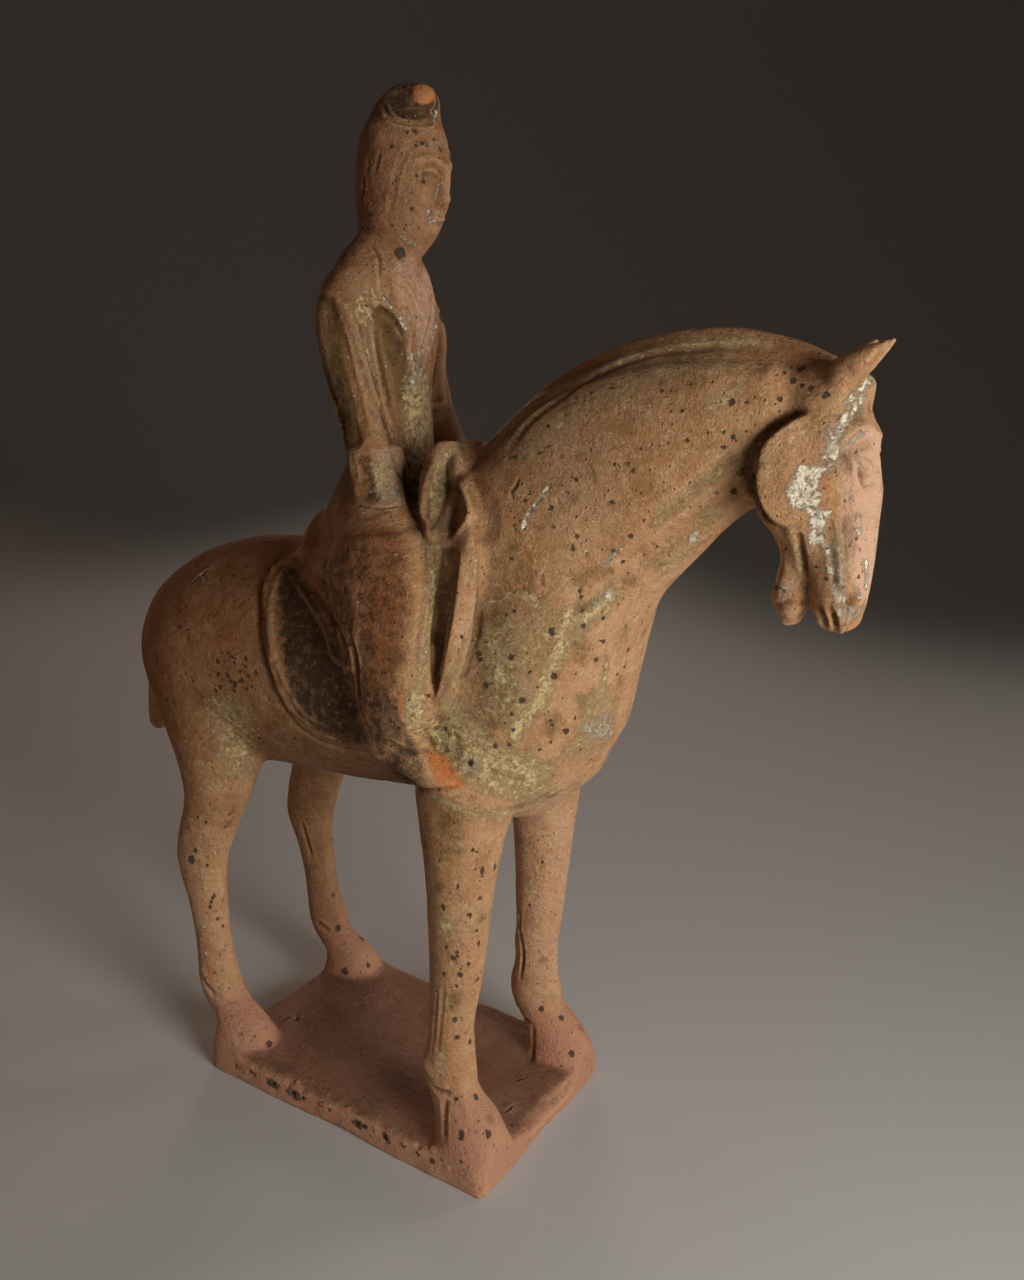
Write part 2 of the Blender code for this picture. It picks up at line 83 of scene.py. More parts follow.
# %% [markdown]
# ## The clay skin
# The solid has few, large facets. A real clay skin has none, so a copy of the solid is
# merged, rounded by subdivision and then remeshed into small even cells. Even cells are
# the best ground for sculpting, because every stroke finds enough points to move. The
# skin could also be sculpted by hand with brushes, but strokes in code can be repeated.

# %% Fine skin from the solid
MM = 1000
CELL = 0.75
SAME_PLACE_M = 1e-6
SHARP_EDGE, CREASE = math.radians(55), 0.8
ROUNDINGS = 2


def evaluated_mesh(obj):
    """A new mesh of the object with its modifiers applied."""
    graph = bpy.context.evaluated_depsgraph_get()
    return bpy.data.meshes.new_from_object(obj.evaluated_get(graph))


def fine_skin(node):
    """The node's form as a closed skin of small, even cells."""
    solid = bmesh.new()
    solid.from_mesh(node.data)
    bmesh.ops.remove_doubles(solid, verts=solid.verts, dist=SAME_PLACE_M)
    crease = solid.edges.layers.float.new("crease_edge")
    for edge in solid.edges:
        if edge.is_manifold and edge.calc_face_angle() > SHARP_EDGE:
            edge[crease] = CREASE
    mesh = bpy.data.meshes.new("clay")
    solid.to_mesh(mesh)
    solid.free()
    clay = bpy.data.objects.new("clay", mesh)
    bpy.context.scene.collection.objects.link(clay)
    rounding = clay.modifiers.new("Rounding", "SUBSURF")
    rounding.levels = rounding.render_levels = ROUNDINGS
    cells = clay.modifiers.new("Cells", "REMESH")
    cells.mode = "VOXEL"
    cells.voxel_size = CELL / MM
    clay.data = evaluated_mesh(clay)
    clay.modifiers.clear()
    return clay


clay = fine_skin(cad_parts[FIGURE])
print("skin cells", len(clay.data.polygons))

# %% [markdown]
# The strokes work on plain arrays of the skin's points and normals, which is many times
# faster than moving one vertex at a time. The Skin below keeps them, with the helpers
# that every stroke needs: which points lie near a path, and which way they face. Soft
# edges are ramps, which climb from 0 to 1 between two values.

# %% Ramps and smooth paths
PATH_STEPS = 6


def ramp(values, start, end):
    """0 at the start value, 1 at the end value and beyond, and even between them."""
    return np.clip((values - start) / (end - start), 0, 1)


def smooth_path(stations):
    """Rows of a Catmull-Rom curve through the stations."""
    rows = np.array(stations, float)
    if len(rows) < 2:
        return rows
    padded = np.vstack([2 * rows[0] - rows[1], rows, 2 * rows[-1] - rows[-2]])
    curve = []
    for a, b, c, d in zip(padded, padded[1:], padded[2:], padded[3:]):
        for t in np.arange(PATH_STEPS) / PATH_STEPS:
            curve.append(0.5 * (2 * b + (c - a) * t + (2 * a - 5 * b + 4 * c - d) * t**2
                                + (3 * b - a - 3 * c + d) * t**3))
    return np.array(curve + [rows[-1]])


print("steps between stations", PATH_STEPS)

# %% Skin points
SAME_WAY = 0.1


class Skin:
    """The clay's points in millimetres, with the strokes that move them."""

    def __init__(self, mesh):
        self.mesh = mesh
        self.points = self.read(mesh.vertices, "co", 3) * MM
        self.ends = self.read(mesh.edges, "vertices", 2, np.int32)
        self.ends = np.vstack([self.ends, self.ends[:, ::-1]])
        self.links = np.bincount(self.ends[:, 0], minlength=len(self.points))
        self.refresh()

    def read(self, rows, name, width, kind=np.float32):
        flat = np.empty(len(rows) * width, kind)
        rows.foreach_get(name, flat)
        return flat.reshape(-1, width).astype(float if kind == np.float32 else int)

    def refresh(self):
        """Put the moved points into the mesh and read its normals again."""
        self.mesh.vertices.foreach_set("co", (self.points / MM).astype(np.float32).ravel())
        self.mesh.update()
        self.normals = self.read(self.mesh.vertex_normals, "vector", 3)

    def averaged(self, values, passes):
        """Values evened out between neighbours, so many times."""
        for _ in range(passes):
            columns = [np.bincount(self.ends[:, 0], column[self.ends[:, 1]], len(values))
                       for column in values.reshape(len(values), -1).T]
            mean = np.stack(columns, 1) / self.links[:, None]
            values = 0.5 * values + 0.5 * mean.reshape(values.shape)
        return values

    def near(self, path, reach):
        """Points within reach of a path: their numbers, distances and place along it.

        Only points that face the way that the path's own clay does are taken.
        """
        spots, facing = path
        low, high = spots.min(0) - reach, spots.max(0) + reach
        chosen = np.flatnonzero(((self.points > low) & (self.points < high)).all(1))
        points = self.points[chosen]
        best = np.full(len(chosen), np.inf)
        normal = np.zeros((len(chosen), 3))
        along = np.zeros(len(chosen))
        runs = max(len(spots) - 1, 1)
        for i in range(runs):
            start, run = spots[i], spots[min(i + 1, len(spots) - 1)] - spots[i]
            share = np.clip((points - start) @ run / (run @ run + 1e-9), 0, 1)
            gap = np.linalg.norm(points - start - share[:, None] * run, axis=1)
            nearer = gap < best
            best[nearer] = gap[nearer]
            normal[nearer] = facing[i]
            along[nearer] = ((i + share) / runs)[nearer]
        kept = (best < reach) & ((self.normals[chosen] * normal).sum(1) > SAME_WAY)
        return chosen[kept], best[kept], along[kept]


skin = Skin(clay.data)
flat_below = (skin.points[:, 2] < CELL) & (skin.normals[:, 2] < -0.5)
skin.points[flat_below, 2] = 0
rest = np.array(skin.points)
surface = BVHTree.FromPolygons(
    [Vector(point) for point in skin.points], [face.vertices for face in clay.data.polygons])
print("skin points", len(skin.points))

# %% [markdown]
# A place in the photograph is turned into a place on the clay with a ray from the
# camera. Most forms are on both sides of the animal, so a path can also be mirrored and
# drawn again on the hidden side, where it is laid on the nearest clay.

# %% From the picture to the clay


def sight(px, py):
    """The direction from the camera through a place in the picture."""
    across = (px - IMAGE[0] / 2) / FOCAL_LENGTH_IN_PIXELS
    up = (IMAGE[1] / 2 - py) / FOCAL_LENGTH_IN_PIXELS
    return (camera.matrix_world.to_3x3() @ Vector((across, up, -1))).normalized()


def seen(places):
    """A smooth path on the clay through places in the picture."""
    eye = camera.matrix_world.translation * MM
    spots, facing = [], []
    for px, py in smooth_path(places):
        direction = sight(px, py)
        spot, normal, _, _ = surface.ray_cast(eye, direction)
        if spot is None:
            if not spots:
                middle = eye + direction * eye.length
            else:
                middle = eye + direction * (Vector(spots[-1]) - eye).length
            spot, normal, _, _ = surface.find_nearest(middle)
        spots.append(spot)
        facing.append(normal)
    return np.array(spots), np.array(facing)


def laid(places):
    """The path through places in space, moved on to the nearest clay."""
    found = [surface.find_nearest(Vector(place))[:2] for place in places]
    return np.array([spot for spot, _ in found]), np.array([normal for _, normal in found])


def both_sides(path):
    """The path, and the same path mirrored on to the other side."""
    return path, laid(path[0] * (1, -1, 1))


print("eye to figure", round(camera.matrix_world.translation.length * MM), "mm")

# %% [markdown]
# Three kinds of stroke make nearly every form: a line pressed in or laid on, a small
# pit or pellet, and an area raised or sunken inside an outline. Each falls off smoothly
# at its edge, as a finger or a wooden tool leaves it. A cut line can throw up a lip, and
# a grab pulls a whole lump along.

# %% Strokes
LINE_REACH = 1.8
LIP_PLACE, LIP_WIDTH = 1.25, 0.3
TAPER_SHARE, TIP_DEPTH = 0.125, 0.35
FACES_CAMERA, DEPTH_SLACK = 0.05, 8


def line(path, width, depth, lip=0.0, taper=True):
    """Press a groove (depth below 0) or lay on a ridge along a path."""
    chosen, gap, along = skin.near(path, width * LINE_REACH)
    share = gap / width
    ends = np.minimum(along, 1 - along) / TAPER_SHARE
    fade = np.clip(ends, TIP_DEPTH, 1) if taper else 1.0
    push = depth * np.clip(1 - share**2, 0, 1) ** 2
    push = push + lip * np.exp(-(((share - LIP_PLACE) / LIP_WIDTH) ** 2))
    skin.points[chosen] += skin.normals[chosen] * (push * fade)[:, None]


def lines(strokes, mirrored=0.0):
    """Strokes given as (places in the picture, width, depth, lip).

    Mirrored is the share of each stroke's depth that the far side gets.
    """
    for places, width, depth, lip in strokes:
        near_side, far_side = both_sides(seen(places))
        line(near_side, width, depth, lip)
        if mirrored:
            line(far_side, width, depth * mirrored, lip * mirrored)
    skin.refresh()


def pit(place, radius, height):
    """Press a small pit (height below 0) or lay on a pellet at a place in the picture."""
    line(seen([place]), radius, height, taper=False)


def in_picture(points):
    """Where points are seen in the picture, and how far away."""
    turned = (points / MM - np.array(camera.matrix_world.translation)) @ np.array(turn)
    away = -turned[:, 2]
    spots = np.stack([IMAGE[0] / 2 + FOCAL_LENGTH_IN_PIXELS * turned[:, 0] / away,
                      IMAGE[1] / 2 - FOCAL_LENGTH_IN_PIXELS * turned[:, 1] / away], 1)
    return spots, away * MM


def depth_inside(at, closed):
    """How far inside a closed outline each flat point is, and 0 outside it."""
    gap = np.full(len(at), np.inf)
    inside = np.zeros(len(at), bool)
    for start, end in zip(closed, closed[1:]):
        run = end - start
        share = np.clip((at - start) @ run / (run @ run + 1e-9), 0, 1)
        gap = np.minimum(gap, np.linalg.norm(at - start - share[:, None] * run, axis=1))
        crosses = (at[:, 1] > start[1]) != (at[:, 1] > end[1])
        inside ^= crosses & (at[:, 0] < start[0] + (at[:, 1] - start[1]) * run[0]
                             / (run[1] + 1e-12))
    return np.where(inside, gap, 0)


def area(outline, soft, mirrored=False, far_share=1.0):
    """How far inside an outline in the picture each skin point is, from 0 to 1.

    The edge is soft over so many picture points. Only clay that faces the camera, and
    lies at the depth of the outline's own places, is taken. The far side may get less.
    """
    sides = (1, -1) if mirrored else (1,)
    closed = smooth_path([*outline, outline[0]])
    depths = in_picture(seen(outline)[0])[1]
    view = np.array(back)
    value = np.zeros(len(skin.points))
    for side in sides:
        flip = np.array((1, side, 1))
        spots, away = in_picture(skin.points * flip)
        chosen = np.flatnonzero(
            ((spots > closed.min(0)) & (spots < closed.max(0))).all(1)
            & ((skin.normals * flip) @ view > FACES_CAMERA)
            & (away > depths.min() - DEPTH_SLACK) & (away < depths.max() + DEPTH_SLACK))
        share = ramp(depth_inside(spots[chosen], closed), 0, soft)
        share = share * share * (3 - 2 * share) * (1 if side == 1 else far_share)
        value[chosen] = np.maximum(value[chosen], share)
    return value


def grab(centre, radii, move):
    """Pull the clay inside an egg-shaped space along, less towards its edge."""
    reach = np.linalg.norm((skin.points - centre) / radii, axis=1)
    share = np.clip(1 - reach**2, 0, 1) ** 2
    skin.points += share[:, None] * np.array(move, float)
    skin.refresh()


def push_area(outline, soft, depth, mirrored=False, rough=None):
    """Raise or sink an area of the skin, with its roughness if it has any."""
    amount = depth * area(outline, soft, mirrored)
    if rough is not None:
        amount = amount * (1 + rough)
    skin.points += skin.normals * amount[:, None]
    skin.refresh()


print("strokes ready")

# %% [markdown]
# ## Hand-modelled unevenness
# No surface that was smoothed with wet fingers is even. Value noise is a grid of random
# heights with soft ramps between them. Three grids of different size give the slow swells
# of the hand, the dents of fingertips and the shallow marks of scraping. The slab is
# rougher than the animal. The facets of the solid are evened out first.

# %% Unevenness of the hand


def swells(points, size, seed):
    """Soft random heights from -1 to 1, about so many millimetres across."""
    grid = points / size + seed * 7.31
    cell = np.floor(grid).astype(np.int64)
    part = grid - cell
    ease = part * part * (3 - 2 * part)
    total = np.zeros(len(points))
    for corner in itertools.product((0, 1), repeat=3):
        x, y, z = (cell + corner).T
        mixed = (x * 73856093) ^ (y * 19349663) ^ (z * 83492791) ^ (seed * 2654435761)
        height = (mixed * 48271 % 2147483647) % 20011 / 10005 - 1
        total += np.prod(np.where(corner, ease, 1 - ease), axis=1) * height
    return total


FACET_PASSES = 6
skin.points = skin.averaged(skin.points, FACET_PASSES)
skin.points[flat_below, 2] = 0
SLAB_TOP = 11
on_slab = ramp(skin.points[:, 2], SLAB_TOP + 3, SLAB_TOP)
uneven = (0.34 * swells(rest, 21, 1) + 0.2 * swells(rest, 8.5, 2)
          + (0.1 + 0.12 * on_slab) * swells(rest, 3.4, 3))
skin.points += skin.normals * (uneven * ~flat_below)[:, None]
skin.refresh()
print("unevenness up to", round(float(np.abs(uneven).max()), 2), "mm")

# %% [markdown]
# ## The horse's head
# The head is the most worked part: a bulging eye under a heavy brow, a lump on the
# forehead, long flat nose bones, a crest down the cheek, an open mouth and a chin with
# pellets of clay. The eye is a small ball of clay pressed into a socket, with two lids.
# The jowl is a round plate with a crisp edge, so it is first pushed out to a shallow
# dome, whose height falls away from its middle.

# %% Horse's head
HEAD_MIRRORED = [
    ([(840, 446), (848, 436), (860, 429), (872, 431), (882, 441)], 3.4, 1.2, 0),
    ([(845, 455), (855, 447), (868, 444), (880, 451)], 2.2, -0.5, 0),
    ([(856, 460), (858, 470), (862, 480), (866, 486)], 1.2, -0.85, 0),
    ([(853, 459), (855, 472), (860, 484)], 1.6, 0.5, 0),
    ([(858, 460), (866, 457), (874, 458)], 1.2, -0.6, 0),
    ([(856, 455), (865, 452), (875, 454)], 1.8, 0.4, 0),
    ([(842, 450), (843, 462), (847, 474)], 3.0, -0.6, 0),
    ([(863, 486), (870, 487), (877, 482)], 1.6, -0.35, 0),
    ([(870, 408), (862, 413), (854, 420)], 3.0, -0.8, 0),
    ([(789, 524), (793, 540), (797, 557), (800, 575)], 2.6, 0.9, 0),
    ([(797, 530), (801, 545), (804, 560), (806, 574)], 1.7, -1.3, 0.15),
    ([(836, 512), (839, 538), (841, 565), (841, 592)], 1.9, 0.8, 0),
    ([(845, 512), (847, 538), (849, 566)], 2.8, -0.6, 0),
    ([(829, 540), (833, 562), (836, 588)], 1.8, -0.6, 0),
    ([(847, 599), (851, 605), (849, 613)], 2.4, -1.2, 0.15),
    ([(856, 590), (859, 597), (856, 604)], 1.2, 0.6, 0),
    ([(804, 412), (780, 424), (760, 442), (749, 462), (750, 484), (758, 503), (772, 521)],
     2.6, -1.3, 0.1),
    ([(833, 604), (838, 615), (842, 628), (838, 636)], 1.4, 0.8, 0),
    ([(785, 600), (795, 603), (806, 604)], 1.8, -0.7, 0),
]
JOWL = [(136, 285), (130.5, 281.5), (125.5, 276.5), (123.4, 271), (123.6, 263), (126, 255.6),
        (131, 250.5), (138, 251.5), (144, 262), (142, 278)]
JOWL_FRONT, JOWL_BLEND, JOWL_EDGE = 143, 10, 1.6
DOME_OUT, DOME_X, DOME_Z = 20.0, 122, 264
plate = DOME_OUT - 0.012 * (rest[:, 0] - DOME_X) ** 2 - 0.0065 * (rest[:, 2] - DOME_Z) ** 2
in_jowl = ramp(depth_inside(rest[:, [0, 2]], smooth_path([*JOWL, JOWL[0]])), 0, JOWL_EDGE)
in_jowl = in_jowl * ramp(rest[:, 0], JOWL_FRONT, JOWL_FRONT - JOWL_BLEND)
in_jowl = in_jowl * ramp(np.abs(rest[:, 1]), 5, 8)
outward = np.clip(plate - np.abs(skin.points[:, 1]), 0, None) * in_jowl
skin.points[:, 1] += np.sign(skin.points[:, 1]) * outward
skin.refresh()
print("jowl pushed out by up to", round(float(outward.max()), 1), "mm")

# %% Eye, mouth, chin and ears
SOCKET = [(846, 452), (858, 446), (878, 448), (884, 462), (882, 484), (866, 492), (852, 480)]
push_area(SOCKET, 9, -0.9, True)
lines(HEAD_MIRRORED, mirrored=0.6)
grab((141.5, 0, 219), (4.5, 16, 9), (0, 0, 4.5))
lines([
    ([(817, 606), (821, 617), (825, 629)], 1.9, -2.4, 0.1),
    ([(832, 612), (834, 622), (835, 631)], 1.5, -1.8, 0.1),
    ([(773, 586), (779, 588), (785, 595)], 1.6, -0.6, 0.1),
    ([(778, 608), (785, 604), (793, 603)], 1.5, -1.1, 0.1),
], mirrored=1)
EYEBALL, EYEBALL_RADIUS, EYEBALL_HEIGHTS = (869, 471), 3.4, (1.8, 0.7)
for one, height in zip(both_sides(seen([EYEBALL])), EYEBALL_HEIGHTS):
    line(one, EYEBALL_RADIUS, height, taper=False)
grab((133, 0, 226), (6, 9, 6), (-2.5, 0, 1))
grab((135, 0, 217), (5, 8, 5), (-1, 0, -2.5))
grab((152, 11, 271), (7, 7, 7), (-2.2, -1.2, 0))
lines([([(864, 369), (873, 361), (884, 350)], 1.5, -0.5, 0.1)])
HEAD_PITS = [(848, 367, 0.9), (872, 362, 0.7), (880, 352, 0.6), (757, 465, 0.8)]
for px, py, radius in HEAD_PITS:
    pit((px, py), radius, -0.5)
skin.refresh()
CHIN_LUMPS = [(768, 590), (778, 574), (806, 580), (804, 606), (798, 630), (780, 628), (774, 606)]
push_area(CHIN_LUMPS, 8, 0.4, True, rough=1.7 * swells(rest, 2.4, 13))
print("head strokes", len(HEAD_MIRRORED))

# %% [markdown]
# ## The neck, chest and body
# The hogged mane is a strip of clay laid along the crest, with a groove below it. The
# chest carries shallow creases and old nicks, and the hips and thighs scratches from the
# tool that scraped them. A nick that was cut in hard clay has a small raised lip.

# %% Neck, chest and rump
BODY_MIRRORED = [
    ([(509, 449), (533, 419), (576, 388), (634, 359), (690, 349), (757, 347)], 2.6, -0.9, 0),
    ([(746, 455), (723, 467), (702, 484), (680, 502), (657, 520), (640, 540)], 4.0, -1.1, 0),
    ([(490, 810), (529, 806), (566, 783)], 2.4, -0.8, 0),
    ([(487, 768), (510, 778), (533, 781)], 1.6, -0.4, 0),
]
lines(BODY_MIRRORED, mirrored=1)
NICKS = [
    ([(523, 529), (530, 512), (539, 502), (547, 488)], 0.75, -0.5, 0.25),
    ([(511, 490), (513, 499)], 0.8, -0.5, 0.15),
    ([(586, 551), (587, 559)], 0.8, -0.5, 0.1),
    ([(621, 549), (612, 556), (603, 567)], 0.8, -0.4, 0.2),
    ([(541, 574), (542, 585)], 1.2, -0.4, 0.2),
    ([(567, 750), (584, 741), (600, 731)], 1.3, -0.5, 0.2),
    ([(608, 597), (584, 607), (566, 624)], 1.6, -0.35, 0),
    ([(558, 647), (547, 677), (536, 708), (512, 730)], 1.8, -0.35, 0),
    ([(190, 586), (198, 577), (212, 568)], 1.0, -0.5, 0.3),
    ([(203, 573), (208, 583)], 1.0, -0.4, 0.2),
    ([(253, 671), (254, 673)], 1.8, -0.8, 0.25),
    ([(511, 492), (516, 486), (519, 478)], 0.9, -0.7, 0.3),
]
lines(NICKS)
print("nicks", len(NICKS))

# %% Pits left by burnt-out straw and grit
rng = np.random.default_rng(7)
PIT_SHARE = 0.45


def scatter(outline, count, low, high):
    """Random places inside an outline in the picture, each with a size."""
    corners = np.array(outline, float)
    spots = rng.uniform(corners.min(0), corners.max(0), (count, 2))
    return [((px, py), rng.uniform(low, high)) for px, py in spots]


PITTED = [
    ([(180, 540), (300, 800)], 40, 0.7, 1.3),
    ([(520, 400), (740, 700)], 28, 0.7, 1.2),
    ([(460, 620), (660, 800)], 26, 0.7, 1.3),
    ([(420, 800), (520, 1090)], 20, 0.6, 1.1),
    ([(260, 580), (400, 700)], 24, 0.7, 1.4),
    ([(330, 280), (440, 480)], 20, 0.7, 1.3),
]
for outline, count, low, high in PITTED:
    for place, radius in scatter(outline, count, low, high):
        pit(place, radius, -PIT_SHARE * radius)
skin.refresh()
print("pits", sum(row[1] for row in PITTED))

# %% [markdown]
# ## The saddle cloth and the rider's legs
# The cloth's edge is a soft roll with a groove round it, and a second, thicker flap
# hangs over it. The folded front cloth makes two lobes and a long narrow strip. A deep
# dark hollow lies between that strip and the thigh. The first lobe stands out most at its
# back, next to the thigh, and fades towards the chest.

# %% Saddle, thigh and boot
SADDLE_MIRRORED = [
    ([(286, 545), (265, 578), (259, 612), (262, 650), (278, 694), (300, 728), (340, 748),
      (380, 753)], 1.7, -0.9, 0),
    ([(296, 552), (276, 582), (270, 612), (273, 648), (288, 688), (309, 716), (345, 734)],
     2.2, 0.7, 0),
    ([(290, 577), (311, 606), (326, 634), (334, 658), (356, 672)], 2.0, 0.9, 0),
    ([(303, 578), (322, 603), (338, 630), (347, 655)], 2.2, -1.1, 0),
    ([(349, 632), (357, 670), (360, 705), (368, 730)], 1.6, -1.1, 0.2),
    ([(456, 478), (464, 492), (469, 512), (463, 526), (454, 538)], 1.2, 0.7, 0),
    ([(449, 466), (440, 488), (433, 512), (430, 534)], 2.8, 0.7, 0),
    ([(469, 486), (476, 504), (480, 520)], 2.2, -0.6, 0),
    ([(468, 518), (472, 552), (474, 590), (467, 640), (455, 680), (444, 704)], 2.4, 0.8, 0),
    ([(479, 604), (477, 630), (470, 655), (460, 684)], 2.2, -1.0, 0),
    ([(430, 560), (428, 604), (421, 650), (420, 680)], 1.6, 0.6, 0),
    ([(385, 742), (410, 752), (432, 748)], 1.8, -0.8, 0.1),
    ([(404, 786), (430, 790), (458, 788)], 1.6, -0.8, 0.1),
]
RECESS = [(438, 545), (459, 549), (458, 580), (454, 616), (446, 654), (438, 692), (432, 692),
          (429, 655), (433, 600)]
LOOP = [(454, 480), (461, 490), (468, 512), (461, 523), (453, 536), (446, 538), (446, 520),
        (449, 500)]
LAP = [(402, 458), (420, 453), (432, 458), (424, 480), (420, 512), (421, 530), (410, 515),
       (402, 490)]
LOBE = [(459, 441), (441, 446), (428, 464), (421, 490), (420, 515), (425, 540), (442, 543),
        (450, 520), (453, 498), (460, 480), (466, 462)]
LOBE_FRONT, LOBE_LENGTH, LOBE_OUT = 27, 12, 4.4
lobe = area(LOBE, 7, True) * ramp(rest[:, 0], LOBE_FRONT, LOBE_FRONT - LOBE_LENGTH)
skin.points += skin.normals * (LOBE_OUT * lobe)[:, None]
skin.refresh()
FLAP = [(466, 466), (486, 476), (504, 508), (500, 546), (474, 556), (460, 532), (464, 500)]
for outline, soft, depth in [(FLAP, 20, -1.8), (RECESS, 4, -1.2), (LOOP, 4, -2.2),
                             (LAP, 6, -1.6)]:
    push_area(outline, soft, depth, True)
lines(SADDLE_MIRRORED, mirrored=1)
CRUST = [(412, 722), (440, 714), (466, 730), (480, 756), (478, 782), (452, 778), (424, 748)]
push_area(CRUST, 8, 0.55, rough=1.5 * swells(rest, 1.7, 11) + 0.8 * swells(rest, 4, 12))
pit((470.5, 763), 1.3, -1.6)
pit((478, 765), 1.0, 0.7)
skin.refresh()
print("saddle strokes", len(SADDLE_MIRRORED))

# %% [markdown]
# ## The rider's coat
# The coat is open at the breast, with a thick lapel, and its sleeves hang in long folds
# to a cuff at the wrist. The folds are ridges with a groove beside them.

# %% Coat folds
COAT_MIRRORED = [
    ([(347, 306), (352, 324), (364, 363), (373, 392), (381, 413)], 2.2, 1.2, 0),
    ([(366, 314), (371, 343), (378, 380), (384, 408), (395, 438)], 2.0, 1.1, 0),
    ([(358, 316), (364, 345), (372, 378), (379, 403)], 1.6, -0.6, 0),
    ([(375, 318), (378, 352), (384, 384), (392, 412)], 1.6, -0.7, 0),
    ([(338, 326), (350, 365), (359, 400), (366, 432)], 2.6, -1.2, 0),
    ([(354, 504), (368, 507), (384, 508), (401, 505)], 0.8, -0.7, 0.1),
    ([(362, 452), (366, 474), (371, 500)], 3.4, -1.5, 0),
    ([(349, 452), (353, 476), (358, 500)], 2.4, 0.6, 0),
    ([(402, 452), (401, 480), (405, 505)], 1.6, 0.4, 0),
]
SLEEVE_BACK = [(316, 290), (338, 296), (348, 330), (357, 372), (366, 412), (366, 446),
               (340, 450), (322, 390)]
push_area(SLEEVE_BACK, 14, -2.2, True)
lines(COAT_MIRRORED, mirrored=1)
COAT_FRONT = [
    ([(375, 258), (377, 276), (378, 292), (384, 304), (395, 311), (405, 324), (410, 336),
      (408, 356), (414, 375), (421, 386)], 1.5, 0.9, 0),
    ([(374, 312), (381, 309), (390, 316), (400, 326), (405, 340)], 1.6, -0.9, 0),
    ([(439, 290), (439, 308), (434, 334), (425, 358), (420, 378)], 1.4, 0.8, 0),
    ([(431, 280), (432, 308), (427, 332), (419, 356)], 1.2, -0.5, 0),
    ([(402, 278), (410, 292), (417, 307), (418, 330)], 1.2, 0.5, 0),
    ([(391, 276), (394, 290)], 1.0, 0.4, 0),
    ([(371, 243), (379, 256), (380, 270), (376, 286)], 0.9, -0.7, 0.2),
]
lines(COAT_FRONT)
print("coat strokes", len(COAT_MIRRORED) + len(COAT_FRONT))

# %% [markdown]
# ## The rider's head
# The face is a plain, calm one on school proportions: the eyes half way down the head,
# the nose's base nearly half way on to the chin, and the mouth two fifths below the nose.
# It is laid out on the head's own middle line in space, and each feature is a pellet or
# a line of clay. The hair is a smooth cap drawn up to a topknot whose front has broken.

# %% Face
CROWN, CHIN = 374, 333
EYES = (CROWN + CHIN) / 2 - 1
NOSE = EYES + (CHIN - EYES) * 0.45
MOUTH = NOSE + (CHIN - NOSE) * 0.4
FRONT = -5
for side in (1, -1):
    for places, width, depth in [
        ([(FRONT, 2.2, EYES + 4), (FRONT, 7, EYES + 5.6), (FRONT - 4, 12, EYES + 3.8)], 2.2, 0.5),
        ([(FRONT, 6.9, EYES)], 5.2, -1.0),
        ([(FRONT, 6.8, EYES)], 3.3, 1.0),
        ([(FRONT, 3.0, EYES - 0.4), (FRONT, 6.6, EYES + 1.7), (FRONT - 3, 10.8, EYES)], 1.2, 0.5),
        ([(FRONT, 3.4, EYES - 0.7), (FRONT, 6.6, EYES + 0.3), (FRONT - 3, 10.4, EYES - 0.6)],
         0.9, -0.6),
        ([(FRONT, 3.8, EYES - 1.2), (FRONT, 6.8, EYES - 2.2), (FRONT - 3, 10.2, EYES - 1.2)],
         1.1, 0.3),
        ([(FRONT + 2, 2.1, NOSE + 0.8)], 1.8, 0.9),
        ([(FRONT + 2, 1.4, NOSE - 0.6)], 1.0, -0.6),
        ([(FRONT - 2, 8.5, NOSE + 2)], 6.0, 0.5),
        ([(FRONT - 1, 2.8, NOSE), (FRONT - 1, 4.6, MOUTH + 0.6)], 1.6, -0.3),
    ]:
        stations = [(x, y * side, z) for x, y, z in places]
        line(laid(smooth_path(stations)), width, depth, taper=False)
for places, width, depth in [
    ([(FRONT, 0, EYES + 3), (FRONT + 1, 0, EYES - 2), (FRONT + 3, 0, NOSE + 1.5)], 3.0, 1.0),
    ([(FRONT + 3, 0, NOSE + 1)], 2.8, 1.3),
    ([(FRONT, 0, NOSE - 1.2), (FRONT, 0, MOUTH + 1.4)], 1.2, -0.3),
    ([(FRONT, -3.8, MOUTH + 0.3), (FRONT, -1.2, MOUTH + 1.3), (FRONT, 1.2, MOUTH + 1.3),
      (FRONT, 3.8, MOUTH + 0.3)], 1.4, 0.6),
    ([(FRONT, -3, MOUTH - 1.3), (FRONT, 0, MOUTH - 1.7), (FRONT, 3, MOUTH - 1.3)], 1.6, 0.8),
    ([(FRONT, -4.4, MOUTH - 0.1), (FRONT, 0, MOUTH), (FRONT, 4.4, MOUTH - 0.1)], 0.9, -0.7),
    ([(FRONT, -2.5, MOUTH - 3.3), (FRONT, 2.5, MOUTH - 3.3)], 1.5, -0.45),
    ([(FRONT, 0, CHIN + 1.5)], 4.0, 0.8),
]:
    line(laid(smooth_path(places)), width, depth, taper=False)
skin.refresh()
print("face: eyes", EYES, "nose", round(NOSE, 1), "mouth", round(MOUTH, 1))

